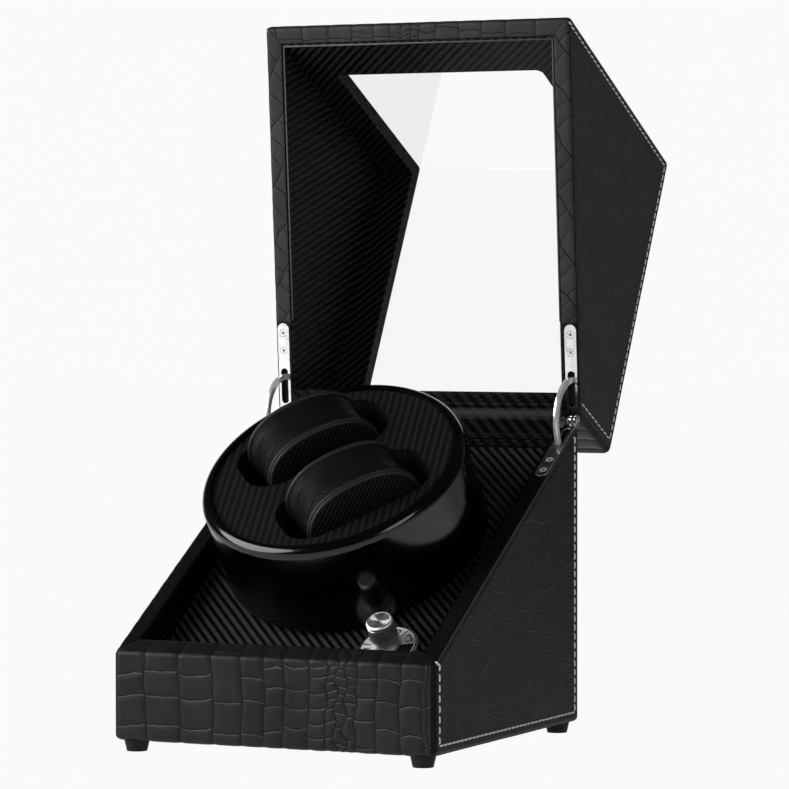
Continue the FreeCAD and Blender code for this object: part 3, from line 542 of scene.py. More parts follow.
def twisted_thread(name, dark, light):
    """Waxed thread: two plies twisted together."""
    paint = Paint(name)
    where = paint.place()
    inputs = {"Vector": where, "Scale": 0.6, "Distortion": 2.0}
    twist = paint.node("TexWave", inputs, bands_direction="DIAGONAL")
    fluff = paint.noise(where, 3.0, 2.0)
    rough = paint.spread(fluff, 0.3, 0.7, 0.5, 0.7)
    return paint.done(paint.mix(fluff, dark, light), rough, paint.bump(twist + fluff, 0.06))


CROC = croc_leather("croc_leather", (0.0145, 0.015, 0.0152), 0.18, 0.62, 0.38, 0.97)
LID_RIM = croc_leather("lid_rim_leather", (0.0235, 0.0237, 0.0239), 0.14, 0.5, 0.42, 0.97, 0.0)
# A darker copy of the croc for the base's front rim, which faces up: painted shade
SHADED_RIM_CROC = croc_leather("shaded_rim_croc_leather", (0.0068, 0.0072, 0.0074), 0.14, 0.45, 0.45, 0.9)
BASE_CREASES = ((0.05, 12.0, 22.0, 0.55, 1.0), (-0.06, 5.5, 12.0, 0.35, 0.55))
LID_CREASES = ((1.75, 8.5, 5.0, 0.4, 0.8), (-0.15, 9.5, 5.0, 0.4, 0.8))
BASE_FLANK = creased_leather(
    "base_side_leather", (0.0143, 0.0156, 0.0158), BASE_CREASES, tint=3.6, pebbled=0.24)
LID_FLANK = creased_leather(
    "lid_side_leather", (0.0345, 0.0347, 0.0349), LID_CREASES, patchy=(0.36, 0.56), tint=2.6, pebbled=0.26)
# Smooth, much darker leather: painted shade on the base flanks' rims, and a painted dark reflection in a thin band
# along the lid flanks' fold
SHADED_RIM = creased_leather(
    "shaded_rim_leather", (0.0048, 0.0051, 0.0053), ((0.1, 6.0, 8.0, 0.4, 0.4),), 0.05)
# A pale band along the base flanks' fold: painted highlight
FOLD_HIGHLIGHT = creased_leather("fold_highlight_leather", (0.045, 0.047, 0.048), ((0.3, 3.0, 5.0, 0.4, 0.5),))
EDGE = side_leather("edge_leather", (0.004, 0.0042, 0.0044), 1.0)
CUSHION = side_leather("cushion_leather", (0.0042, 0.0042, 0.0045), 0.6)
PIPING = side_leather("piping_leather", (0.008, 0.008, 0.0085), 0.2, 0.35)
GLOSS = gloss_lacquer("gloss_black", (0.0006, 0.0006, 0.0007))
STAY_CHROME = worked_metal("stay_chrome", (0.86, 0.86, 0.87), 0.18, ROLLED, 0.6)
# Near-black metal for the leaves' bevels, and a darker metal for the base leaves' faces: painted dark reflection
LEAF_EDGE = worked_metal("leaf_edge", (0.05, 0.05, 0.05), 0.3, ROLLED, marks=0.002)
LEAF_FACE = worked_metal("leaf_face", (0.3, 0.3, 0.3), 0.26, ROLLED, marks=0.002)
CHROME = worked_metal("hinge_chrome", (0.78, 0.78, 0.8), 0.12, ROLLED, marks=0.002)
STEEL = worked_metal("steel", (0.5, 0.5, 0.51), 0.3, CUT)
BRASS = worked_metal("brass", (0.72, 0.56, 0.26), 0.28, CUT)
WORN_BRASS = worked_metal("worn_brass", (0.8, 0.7, 0.58), 0.3, CUT, 0.5)
TURNED = turned_metal("turned_aluminium", (0.88, 0.88, 0.89), 0.36)
DIAL = worked_metal("dial_metal", (0.78, 0.78, 0.79), 0.5, (0.2, 3.0, 3.0), 0.25)
RUBBER = moulded("black_rubber", (0.007, 0.007, 0.007), 0.62, specular=0.2)
PLASTIC = moulded("black_plastic", (0.018, 0.018, 0.018), 0.5)
WELL = moulded("well_black", (0.008, 0.008, 0.0085), 0.6, specular=0.2)
NYLON = moulded("nylon", (0.7, 0.7, 0.65), 0.45)
BOARD_GREEN = moulded("circuit_board", (0.03, 0.12, 0.06), 0.4)
# Dark print on the dial, and the painted shade in the screw heads' cross cuts
INK_AND_SHADE = moulded("dial_ink_and_slot_shade", (0.01, 0.01, 0.01), 0.5, 0.3)
CLEAR = clear_sheet("clear_sheet")
FIBRE = fibreboard("board", (0.05, 0.045, 0.04))
PALE_EDGE = fibreboard("pale_edge", (0.085, 0.085, 0.085))
THREAD = twisted_thread("stitch_thread", (0.62, 0.62, 0.6), (0.85, 0.85, 0.83))

LEVEL = (0.0, 0.0, 0.0)
SHUT = (-LID_TURN, 0.0, 0.0)
ON_DECK = (-DECK_TILT, 0.0, 0.0)
ON_FACE = (-DECK_TILT, 0.0, -math.radians(56.0))
ON_CUSHION = (-DECK_TILT, 0.0, -DRUM_TURN)
SHADED_LIGHT = (0.0065, 0.0065, 0.0067)
FACE_LIGHT = (0.0185, 0.0188, 0.0194)
FACE_DARK = (0.0058, 0.0059, 0.0061)
HINGE_LIGHT = (0.0125, 0.0125, 0.0128)
CARBON = {
    "deck": carbon_cloth("deck", ON_DECK, (0, 1), (0.047, 0.047, 0.0478)),
    "face": carbon_cloth("face", ON_FACE, (0, 1), FACE_LIGHT, FACE_DARK, lean=-1.0),
    "base_cross": carbon_cloth("base_cross", LEVEL, (0, 2), SHADED_LIGHT),
    "base_side": carbon_cloth("base_side", LEVEL, (1, 2), SHADED_LIGHT),
    "lid_cross": carbon_cloth("lid_cross", SHUT, (0, 2)),
    "lid_top": carbon_cloth("lid_top", SHUT, (0, 1)),
    "lid_side": carbon_cloth("lid_side", SHUT, (1, 2)),
    "cushion": carbon_cloth("cushion", ON_CUSHION, (0, 2), (0.015, 0.015, 0.0154), pitch=0.75, lean=-1.0),
    "hinge": carbon_cloth(
        "hinge", LEVEL, (0, 1), HINGE_LIGHT, pitch=1.86, chart="Scales", fold=(3.9, 0.75, 3.6)),
}


def soften(node, width, rim=None):
    """Rounds a metal part's edges, which may take a material of their own: a painted highlight or a painted dark
    reflection along them.
    """
    node.modifiers.new("weld", "WELD").merge_threshold = WELD_REACH * MM
    edge = node.modifiers.new("edge", "BEVEL")
    edge.width = width * MM
    if rim:
        node.data.materials.append(rim)
        edge.material = 1
    edge.segments = 2
    edge.limit_method = "ANGLE"
    edge.angle_limit = math.radians(50)
    edge.harden_normals = True


def finish_nodes():
    """Every node of the frame takes its finish."""
    by_slot = {
        "croc_leather": EDGE, "side_leather": EDGE, "board": FIBRE, "gloss_black": GLOSS, "well_black": WELL,
        "cushion_leather": CUSHION, "hinge_chrome": CHROME, "turned_aluminium": TURNED, "dial_metal": DIAL,
        "black_rubber": RUBBER, "clear_sheet": CLEAR, "steel": STEEL, "brass": BRASS, "nylon": NYLON,
        "black_plastic": PLASTIC, "circuit_board": BOARD_GREEN,
    }
    own = {
        "base_hinge_screws": WORN_BRASS, "deck_panel": CARBON["deck"], "drum_face": CARBON["face"],
        "lid_lining_top": CARBON["lid_top"],
    }
    for half in ("base", "lid"):
        for side, way in (("front", "cross"), ("rear", "cross"), ("left", "side"), ("right", "side")):
            own[f"{half}_lining_{side}"] = CARBON[f"{half}_{way}"]
    for side in ("left", "right"):
        own["quadrant_stay_" + side] = STAY_CHROME
        own["hinge_pin_" + side] = STAY_CHROME
        # The base leaves' faces take the darker metal: painted dark reflection
        own["hinge_base_leaf_" + side] = LEAF_FACE
    for part in frame["record"]["subparts"]:
        name = part["node"]
        node = NODES[name]
        material = own.get(name) or by_slot[part["material_slot"]]
        node.data.materials.clear()
        node.data.materials.append(material)
        # The base leaves' bevels take the bright stay chrome, a painted highlight; the other leaves' bevels take
        # near-black metal, a painted dark reflection
        if "leaf" in name:
            soften(node, LEAF_BEVEL, STAY_CHROME if material is LEAF_FACE else LEAF_EDGE)
        elif "stay" in name:
            soften(node, STAY_BEVEL)


# Leather sheets, which lie on the boards, a little proud of them

BOX_MIDDLE = np.array([0.0, CASE_D / 2, (UNDERSIDE + TOP) / 2])
SHEET_LIFT = 0.12
SHEET_FOOT = 0.02
SHEET_GAP = 0.15
EDGE_SOFT = 1.3
CORNER_LAP = 0.4
RIM_NEAR = 0.45
REAR_LIP = 2.6
RIM_IN = PANEL_T - SHEET_GAP
FACE_HALF = HALF_W - EDGE_R + CORNER_LAP
FOLD_AT = 10.8
FLANK_ROWS = 110
MITRE_SLACK = 0.5
BASE_RELIEF = 0.35
LID_RELIEF = 0.3


class Scales:
    """Where the embossed scales lie: columns of uneven width, each with its own cross grooves."""

    PAD = 26.0
    PADS = 20
    NARROW = 7.0
    FAR = 20.0
    JOIN = 1.4
    DOME = 1.9
    LUMPS = 64

    def __init__(self, seed, columns, start, depth, turn=0.0, ruffled=None):
        draw = np.random.default_rng(seed)
        before = [(self.PAD, columns[0][1])] * self.PADS
        after = [(self.PAD, columns[-1][1])] * self.PADS
        columns = before + list(columns) + after
        pads = self.PAD * np.arange(1, self.PADS + 1)
        self.width = np.array([width for width, rows in columns], float)
        self.across = np.concatenate([[0.0], np.cumsum(self.width)]) + start - pads[-1]
        self.along = [
            np.concatenate([rows[0] - pads[::-1], rows, rows[-1] + pads]) for width, rows in columns]
        self.middle = self.across[:-1] + self.width / 2
        narrow = np.where(self.width < self.NARROW, 4.0, 1.0)
        self.lean = draw.uniform(-0.09, 0.09, len(columns)) * narrow
        self.curve = draw.uniform(-1.0, 1.2, len(columns))
        self.phase = draw.uniform(0, 2 * math.pi, 4)
        self.lumps = draw.uniform(0.0, 1.0, (len(columns), self.LUMPS))
        self.depth = depth
        self.turn = turn
        self.ruffled = ruffled

    def turned(self, u, v):
        cos, sin = math.cos(self.turn), math.sin(self.turn)
        return u * cos - v * sin, u * sin + v * cos

    def count_columns(self, u, v):
        bent = u + 0.75 * np.sin(v / 9.0 + u / 31 + self.phase[0])
        bent = bent + 0.25 * np.sin(v / 3.1 + u / 8 + self.phase[1])
        if self.ruffled is not None:
            bent = bent + 1.5 * np.sin(v / 2.3 + u / 3.0) * np.exp(-((u - self.ruffled) / 8.0) ** 2)
        return np.interp(bent, self.across, np.arange(len(self.across)))

    def column_of(self, u, v):
        return np.clip(np.floor(self.count_columns(u, v)).astype(int), 0, len(self.width) - 1)

    def count_rows(self, u, v, column):
        """Rows passed, and the height of the scale there."""
        beside = u - self.middle[column]
        bent = v + self.lean[column] * beside + self.curve[column] * (2 * beside / self.width[column]) ** 2
        bent = bent + 0.35 * np.sin(u / 4.1 + self.phase[2] + column) + 0.15 * np.sin(u / 1.9 + self.phase[3])
        count, tall = np.zeros(u.shape), np.zeros(u.shape)
        for k in np.unique(column):
            here = column == k
            edges = self.along[k]
            count[here] = np.interp(bent[here], edges, np.arange(len(edges)))
            tall[here] = np.diff(edges)[np.clip(np.floor(count[here]).astype(int), 0, len(edges) - 2)]
        return count, tall

    def height(self, u, v):
        u, v = self.turned(u, v)
        across = self.count_columns(u, v)
        column = self.column_of(u, v)
        along, tall = self.count_rows(u, v, column)
        off_column = np.minimum(np.abs(across - np.round(across)) * self.width[column], self.FAR)
        off_row = np.minimum(np.abs(along - np.round(along)) * tall, self.FAR)
        off = -np.log(np.exp(-self.JOIN * off_column) + np.exp(-self.JOIN * off_row)) / self.JOIN
        dome = 1 - np.exp(-(np.clip(off, 0.0, None) / self.DOME) ** 2)
        lump = self.lumps[column, np.floor(along).astype(int) % self.LUMPS]
        return self.depth * dome * (0.75 + 0.35 * lump)

    def charts(self, u, v):
        """The Scales and Sizes maps for face corners, each face counted in one scale."""
        u, v = self.turned(u, v)
        middle_u, middle_v = u.mean(axis=1), v.mean(axis=1)
        column = self.column_of(middle_u, middle_v)
        tall = self.count_rows(middle_u, middle_v, column)[1]
        rows = self.count_rows(u, v, np.repeat(column[:, None], u.shape[1], axis=1))[0]
        sizes = np.repeat(np.stack([self.width[column], tall], axis=-1)[:, None, :], u.shape[1], axis=1)
        return np.stack([self.count_columns(u, v), rows], axis=-1), sizes


def random_columns(seed, widths, heights, reach, first, last, small=()):
    """Columns that fill a reach, with rows from a first height to a last, and clusters of small scales."""
    draw = np.random.default_rng(seed)
    columns, at = [], 0.0
    while at < reach:
        share = 0.42 if any(low < at < high for low, high in small) else 1.0
        width = float(draw.uniform(*widths)) * share
        count = int((last - first) / heights[0] / share) + 2
        steps = draw.uniform(heights[0] * share, heights[1] * share, count)
        columns.append((width, first - draw.uniform(0.0, heights[1]) + np.cumsum(steps)))
        at += width
    return columns


def at_corners(where, faces):
    """A sheet's own coordinates at each face's corners."""
    return np.stack([way.reshape(-1)[faces] for way in where], axis=-1)


def leather_sheet(name, lid, grid, where, scales, rise, keep=None, zones=None):
    """A sheet of leather over a grid of points, lifted by its scales. rise is 0 to 1, and sinks it at its
    edges. zones gives a finish's number for each face, the finishes, and the number of those with scales: the
    others are drawn in millimetres."""
    normal = unit(np.cross(np.gradient(grid, axis=0), np.gradient(grid, axis=1)))
    if np.sum(normal * (grid - BOX_MIDDLE)) < 0:
        grid, normal, rise = grid[::-1], -normal[::-1], rise[::-1]
        where = (where[0][::-1], where[1][::-1])
    lift = SHEET_FOOT + (SHEET_LIFT + scales.height(*where)) * rise
    points = grid + normal * lift[..., None]
    faces = grid_faces(*rise.shape)[:, ::-1]
    middle = grid.reshape(-1, 3)[faces].mean(axis=1)
    if keep is not None:
        kept = keep(middle)
        faces, middle = faces[kept], middle[kept]
    place, body = home(lid)
    zone_of, finishes, scaled = zones or (None, (CROC,), 1)
    piece = mesh_piece(name, place(points.reshape(-1, 3)), faces, finishes[0], body)
    corners = at_corners(where, faces)
    counts, sizes = scales.charts(corners[..., 0], corners[..., 1])
    if zone_of:
        zone = zone_of(middle)
        counts[zone >= scaled] = corners[zone >= scaled]
        for finish in finishes[1:]:
            piece.data.materials.append(finish)
        piece.data.polygons.foreach_set("material_index", zone.astype(np.int32))
    add_map(piece, "Scales", counts)
    add_map(piece, "Sizes", sizes)


def rounded_route(corners, radius, step):
    """Points at even steps along a line with rounded corners, and how far along each one is."""
    corners = np.array(corners, float)
    points = [corners[0]]
    for before, corner, after in zip(corners, corners[1:], corners[2:]):
        back, ahead = unit(before - corner), unit(after - corner)
        half = math.acos(np.clip(back @ ahead, -1, 1)) / 2
        cut = radius / math.tan(half)
        centre = corner + unit(back + ahead) * radius / math.sin(half)
        start, end = corner + back * cut - centre, corner + ahead * cut - centre
        sweep = math.pi - 2 * half
        for share in np.linspace(0, 1, 13):
            mixed = start * math.sin((1 - share) * sweep) + end * math.sin(share * sweep)
            points.append(centre + mixed / math.sin(sweep))
    points = np.array(points + [corners[-1]])
    reach = np.concatenate([[0.0], np.cumsum(np.linalg.norm(np.diff(points, axis=0), axis=1))])
    at = np.linspace(0, reach[-1], int(round(reach[-1] / step)) + 1)
    return np.stack([np.interp(at, reach, points[:, k]) for k in range(2)], axis=-1), at


def wrapped_grid(route, at, low, high, step):
    """A sheet that follows a route in y and z, between two x bounds for each point of the route."""
    count = int(round(np.max(high - low) / step)) + 1
    x = low + (high - low) * np.linspace(0, 1, count)[:, None]
    y, z, v = [np.broadcast_to(way, x.shape) for way in (route[:, 0], route[:, 1], at)]
    return np.stack([x, y, z], axis=-1), (x, v)


def reach_along(grid, axis):
    """How far each point of a grid lies along its line of points."""
    gap = np.linalg.norm(np.diff(grid, axis=axis), axis=-1)
    pad = [(0, 0), (0, 0)]
    pad[axis] = (1, 0)
    return np.pad(np.cumsum(gap, axis=axis), pad)


def edge_rise(grid, ends=(True, True, True, True)):
    """0 at a sheet's open edges, rising to 1 inside them."""
    across, along = reach_along(grid, 0), reach_along(grid, 1)
    rise = np.ones(across.shape)
    parts = (across, across[-1:, :] - across, along, along[:, -1:] - along)
    for wanted, part in zip(ends, parts):
        if wanted:
            rise = rise * smooth(part / EDGE_SOFT)
    return rise


def mitre_bound(route):
    """How far out a front or rear sheet reaches: to the mitre on the rim, to the corner on the face."""
    depth = np.minimum(route[:, 0], CASE_D - route[:, 0])
    bound = np.minimum(HALF_W - depth - SHEET_GAP, FACE_HALF)
    return np.where(depth > PANEL_T + MITRE_SLACK, FACE_HALF, np.maximum(bound, HALF_W - PANEL_T))


def rim_point(y, sign):
    """A point of the base's rim, for sign -1, or of the lid's, for 1."""
    return y, rim_z(y, sign * RIM_STEP)


def on_rim(sign):
    """Tells 1 for the faces of a sheet that lie on its rim."""
    def zone(middle):
        return (np.abs(middle[:, 2] - rim_z(middle[:, 1], sign * RIM_STEP)) < RIM_NEAR).astype(int)
    return zone


FRONT_STEP = 0.7
REAR_STEP = 1.0
FRONT_COLUMNS = (
    (18.2, (10.7, 21.6, 36.9)), (19.6, (8.5, 21.2, 35.8)), (19.0, (10.0, 22.3, 37.2)), (16.1, (22.3, 38.1)),
    (12.8, (9.6, 20.9, 37.9)), (11.2, (4.0, 14.0, 23.4, 35.9)), (14.0, (3.4, 14.6, 24.0, 33.9)),
    (9.8, (3.4, 8.4, 16.5, 23.9, 32.0, 38.8)), (5.2, (2.2, 6.0, 9.5, 14.0, 18.0, 22.6, 29.0, 36.5)),
    (5.6, (4.0, 7.6, 12.2, 16.2, 20.2, 25.5, 33.0, 41.0)), (5.8, (1.8, 6.6, 11.0, 15.2, 19.6, 26.8, 38.2)),
    (10.9, (7.6, 17.5, 28.6, 42.2)), (13.0, (7.0, 18.1, 31.6)), (12.9, (6.9, 20.2, 34.5)),
    (2.1, (20.0, 40.0)))


def base_front_sheet():
    corners = [rim_point(RIM_IN, -1), rim_point(0, -1), (0, UNDERSIDE), (RIM_IN, UNDERSIDE)]
    route, at = rounded_route(corners, EDGE_R, FRONT_STEP)
    bound = mitre_bound(route)
    grid, where = wrapped_grid(route, at, -bound, bound, FRONT_STEP)
    columns = [(width, np.array(rows) + FOLD_AT) for width, rows in FRONT_COLUMNS]
    scales = Scales(11, columns, -HALF_W, 0.3, ruffled=39.0)
    # The rim takes the darker croc: painted shade
    zones = (on_rim(-1), (CROC, SHADED_RIM_CROC), 2)
    leather_sheet("front_leather", False, grid, where, scales, edge_rise(grid), zones=zones)


def base_rear_sheet():
    rear = CASE_D - RIM_IN
    corners = [rim_point(rear, -1), rim_point(CASE_D, -1), (CASE_D, UNDERSIDE), (rear, UNDERSIDE)]
    route, at = rounded_route(corners, EDGE_R, REAR_STEP)
    bound = np.where(at < PANEL_T + LEAF_DEEP, BESIDE_LEAF, FACE_HALF)
    grid, where = wrapped_grid(route, at, -bound, bound, REAR_STEP)
    columns = random_columns(5, (10, 17), (10, 16), CASE_W + 20, 0.0, 190.0)
    scales = Scales(23, columns, -HALF_W - 10, 0.4)

    def off_inlet(points):
        return np.hypot(points[..., 0] - INLET_X, points[..., 2] - INLET_Z) - INLET_R

    def clear(middle):
        return (off_inlet(middle) >= 0) & ((on_rim(-1)(middle) == 0) | (middle[:, 1] > CASE_D - REAR_LIP))
    rise = edge_rise(grid) * smooth(off_inlet(grid) / INLET_SOFT)
    leather_sheet("rear_leather", False, grid, where, scales, rise, keep=clear)


def side_grid(side, sign, step):
    """One flank from its rim, over the fold and across the face, to the far fold. sign is -1 for the base,
    1 for the lid."""
    fold_h = EDGE_R / SPLIT_COS
    end = TOP if sign > 0 else UNDERSIDE
    fold = np.linspace(0, math.pi / 2, 8)[1:]
    close = np.linspace(0, math.pi / 2, 6)[1:]
    rim_x = np.linspace(HALF_W - RIM_IN, HALF_W - EDGE_R, 9)
    face = np.linspace(0, 1, int(FLANK_ROWS / step))[1:]
    x = np.concatenate([
        rim_x, HALF_W - EDGE_R * (1 - np.sin(fold)), np.full(face.shape, HALF_W),
        HALF_W - EDGE_R * (1 - np.cos(close))])
    inset = np.clip(HALF_W - x + SHEET_GAP, EDGE_R - CORNER_LAP, None)
    share = np.linspace(0, 1, int(CASE_D / step))[:, None]
    y = inset + (CASE_D - 2 * inset) * share
    rim = rim_z(y, sign * RIM_STEP)
    turn = len(rim_x)
    start = turn + len(fold)
    stop = start + len(face)
    z = rim.copy()
    z[:, turn:start] = rim[:, turn:start] + sign * fold_h * (1 - np.cos(fold))
    top_edge = rim[:, start:stop] + sign * fold_h
    z[:, start:stop] = top_edge + (end - sign * EDGE_R - top_edge) * face
    z[:, stop:] = end - sign * EDGE_R * (1 - np.sin(close))
    v = z.copy()
    v[:, :start] = rim[:, :start] + sign * (x[:start] - HALF_W)
    grid = np.stack([np.broadcast_to(side * x, y.shape), y, z], axis=-1)
    return grid, (y.copy(), v), start


def beside_leaf(grid, fold_end):
    """Sinks a flank's sheet where the hinge leaf lies in its rim."""
    along = reach_along(grid, 1)
    edge = np.argmax(np.abs(grid[0, :fold_end, 0]) > LEAF_SIDE)
    return smooth(np.maximum(LEAF_TIP - grid[..., 1], along - along[:, edge:edge + 1]) / EDGE_SOFT)


STITCH_INSET = 5.0
STITCH_REAR = 6.5
STITCH_FIRST = 1.9
STITCH_LAST = 2.4
STITCH_PITCH = 4.7
STITCH_LENGTH = 4.1
STITCH_PRESS = 1.1
BASE_THREAD_R = 0.5
LID_THREAD_R = 0.38


def stitch_rows(sign):
    """The sewn lines of one flank: down its front, along its far edge and up its rear, as (y, z) runs."""
    low = UNDERSIDE + STITCH_INSET if sign < 0 else TOP - STITCH_INSET
    front, rear = STITCH_INSET, CASE_D - STITCH_REAR
    first = rim_z(front, sign * STITCH_FIRST)
    last = rim_z(rear, sign * STITCH_LAST)
    return [((front, first), (front, low)), ((front, low), (rear, low)), ((rear, low), (rear, last))]


def off_rows(y, z, rows):
    """Distance of points from the sewn lines."""
    nearest = np.full(y.shape, 1e9)
    for (y0, z0), (y1, z1) in rows:
        length = math.hypot(y1 - y0, z1 - z0)
        at = np.clip(((y - y0) * (y1 - y0) + (z - z0) * (z1 - z0)) / length ** 2, 0, 1)
        nearest = np.minimum(nearest, np.hypot(y - y0 - at * (y1 - y0), z - z0 - at * (z1 - z0)))
    return nearest


def flank_waves(y, v, seed):
    """Slow swells in a flank's leather."""
    turn = np.random.default_rng(seed).uniform(0, 2 * math.pi, 3)
    swell = np.sin(v / 5.3 + 1.4 * np.sin(y / 13.0 + turn[0]) + turn[1])
    return 0.1 + 0.06 * swell * np.sin(y / 19.0 + v / 31.0 + turn[2])


SMALL_SCALES = ((300, 330), (400, 420))
FLANK_STEP = 1.0
PRESS_DEPTH = 0.8
# Where a flank's bands start, in from its face: on the base a pale band along the fold (painted highlight), then
# the dark rim (painted shade); on the lid a dark band along the fold (painted dark reflection)
LID_BANDS = (0.6, 0.95)
BASE_BANDS = (0.28, 0.75)


def flank_sheet(side, sign):
    """Leather over one flank, pressed down along its stitching."""
    lid = sign > 0
    grid, where, fold_end = side_grid(side, sign, FLANK_STEP)
    seed = 41 + 2 * int(lid) + int(side > 0)
    columns = random_columns(seed, (8, 14), (9, 14), 600, -350.0, 450.0, SMALL_SCALES)
    scales = Scales(seed, columns, -250.0, 0.42, 0.6 if lid else 0.1)
    press = np.exp(-(off_rows(grid[..., 1], grid[..., 2], stitch_rows(sign)) / STITCH_PRESS) ** 2)
    rise = edge_rise(grid) * beside_leaf(grid, fold_end)
    waves = flank_waves(*where, seed) * (1 - PRESS_DEPTH * press)
    tall = SHEET_LIFT + scales.height(*where)
    rise[:, fold_end:] *= ((SHEET_LIFT + waves) / tall)[:, fold_end:]
    rise[:, :fold_end] *= LID_RELIEF if lid else BASE_RELIEF

    def clear(middle):
        in_leaf = (middle[:, 1] > LEAF_TIP) & (np.abs(middle[:, 0]) < LEAF_SIDE)
        return ~(in_leaf & (np.abs(middle[:, 2] - rim_z(middle[:, 1])) < LEAF_NEAR))

    def part_of(middle):
        face, band = LID_BANDS if lid else BASE_BANDS
        out = HALF_W - np.abs(middle[:, 0])
        beyond = np.where(out < band, 2, 0) if lid else np.where(out < band, 3, 2)
        return np.where(out < face, 1, beyond)
    name = ("lid" if lid else "base") + ("_right" if side > 0 else "_left") + "_leather"
    finishes = (LID_RIM, LID_FLANK, SHADED_RIM) if lid else (CROC, BASE_FLANK, SHADED_RIM, FOLD_HIGHLIGHT)
    leather_sheet(name, lid, grid, where, scales, rise, clear, (part_of, finishes, 1))


CLOTH_LIFT = 0.35
CLOTH_FOLD_Z = 168.4
CLOTH_SAG = 0.25
CLOTH_SAG_Z = 168.5
CLOTH_HALF = HINGE_X - 4.25
CLOTH_LOW_HALF = HALF_W - PANEL_T - LINING_T - SHEET_GAP
CLOTH_OVER = ((176.9, 165.2), (177.2, 169.3), (178.7, 171.2), (181.4, 172.6), (181.05, 178.2), (181.8, 179.4))


def hinge_cloth():
    """Carbon cloth over the rear joint: up the lining, over the base's rim, rolled across the gap and up the
    lid's rim."""
    low_y = CASE_D - PANEL_T - LINING_T - CLOTH_LIFT
    edge_y = CASE_D - PANEL_T - 0.9
    route, at = rounded_route([(low_y, 151.2), (edge_y, rim_z(edge_y, 0.6)), *CLOTH_OVER], 0.7, 0.6)
    at = at - np.interp(CLOTH_FOLD_Z, route[:, 1], at)
    bound = np.where(route[:, 1] < rim_z(low_y) + 0.6, CLOTH_LOW_HALF, CLOTH_HALF)
    grid, where = wrapped_grid(route, at, -bound, bound, 2.0)
    sag = np.sin(grid[..., 0] / 11.0 + 0.8) * np.sin(grid[..., 0] / 29.0)
    sag = sag * np.exp(-((grid[..., 2] - CLOTH_SAG_Z) / 2.5) ** 2)
    grid = grid + CLOTH_SAG * sag[..., None] * np.array([0.0, -1.0, 0.4])
    faces = grid_faces(*where[0].shape)[:, ::-1]
    points = in_case(grid.reshape(-1, 3))
    cloth = mesh_piece("hinge_cloth", points, faces, CARBON["hinge"], None)
    add_map(cloth, "Scales", at_corners(where, faces))
    start, end = in_case([(0.0, 172.0, 158.5), (0.0, 179.2, 171.5)])
    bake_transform(cloth)


OPENING_HALF = WINDOW_HALF + 0.4
ROWS_BEYOND = 42
CALM_REACH = 4.0
LID_STEP = 0.9
LID_COLUMNS = (
    (6.4, (1.7,)), (16.7, (1.6,)), (15.9, (1.5,)), (14.0, (1.9,)), (12.7, (1.5, 4.0)), (9.7, (1.8,)),
    (6.6, (1.6, 3.6, 8.8)), (5.9, (1.2, 3.0, 5.2, 8.6)), (4.5, (1.4, 4.6, 7.6)), (9.5, (3.6,)),
    (13.1, (6.0,)), (13.4, (4.4,)), (13.8, (2.2,)), (17.1, (1.5,)), (20.7, (0.2,)))


def lid_route():
    corners = [
        rim_point(RIM_IN, 1), rim_point(0, 1), (0, TOP), (CASE_D, TOP),
        rim_point(CASE_D, 1), rim_point(CASE_D - RIM_IN, 1)]
    return rounded_route(corners, EDGE_R, 1.0)


def lid_columns():
    """The rim's scales as seen, and drawn rows beyond the fold."""
    draw = np.random.default_rng(8)
    columns = []
    for width, rows in LID_COLUMNS:
        beyond = FOLD_AT + 6.0 + np.cumsum(draw.uniform(10, 15, ROWS_BEYOND))
        columns.append((width, np.concatenate([rows, beyond])))
    return columns


def off_rear_rim(middle):
    """Leaves out the lid's rear rim, where the cloth lies."""
    x, y, z = middle.T
    return (y > CASE_D - REAR_LIP) | (z > rim_z(y, 4.0)) | (y < CASE_D / 2)


def lid_sheets():
    """Leather round the lid's front, top and rear: two stiles beside the window, the sill and the back."""
    route, at = lid_route()
    y, z = route[:, 0], route[:, 1]
    near_leaf = (y > CASE_D - PANEL_T) & (z < rim_z(CASE_D) + LEAF_HIGH)
    outer = np.where(near_leaf, BESIDE_LEAF, mitre_bound(route))
    inner = np.full(len(y), OPENING_HALF)
    first = np.argmax(z > WINDOW_LOW)
    last = len(y) - 1 - np.argmax(((z > TOP - 1) & (y < WINDOW_REAR))[::-1])
    glazed = np.zeros(len(y), bool)
    glazed[first:last + 1] = True
    scales = Scales(31, lid_columns(), -HALF_W, 0.42)
    calm = LID_RELIEF + (1 - LID_RELIEF) * smooth((np.minimum(at, at[-1] - at) - FOLD_AT) / CALM_REACH)
    zones = (on_rim(1), (CROC, LID_RIM), 2)
    for side, name in ((-1, "lid_stile_left"), (1, "lid_stile_right")):
        low, high = (-outer, -inner) if side < 0 else (inner, outer)
        grid, where = wrapped_grid(route, at, low, high, LID_STEP)
        rise = edge_rise(grid, (side < 0, side > 0, True, True))
        beside = smooth(np.abs(np.abs(grid[..., 0]) - OPENING_HALF) / EDGE_SOFT)
        rise = np.where(glazed, rise * beside, rise) * calm
        leather_sheet(name, True, grid, where, scales, rise, keep=off_rear_rim, zones=zones)
    for name, span in (("lid_sill", slice(0, first)), ("lid_back", slice(last + 1, len(y)))):
        grid, where = wrapped_grid(route[span], at[span], -inner[span], inner[span], LID_STEP)
        rise = edge_rise(grid, (False, False, True, True)) * calm[span]
        leather_sheet(name, True, grid, where, scales, rise, keep=off_rear_rim, zones=zones)


BAR_HALF_W = 0.42
BAR_HALF_H = 0.3
BAR_PROUD = 0.35
BAR_SIDES = 10
LINING_SET = 0.75


def edge_bar(start, end, aside, out):
    """A low rounded bar between two points, lying along a board's cut edge."""
    angle = circle(BAR_SIDES)[:, None]
    ring = np.cos(angle) * aside * BAR_HALF_W + np.sin(angle) * out * BAR_HALF_H
    return np.concatenate([start + ring, end + ring]), tube_faces(2, BAR_SIDES)


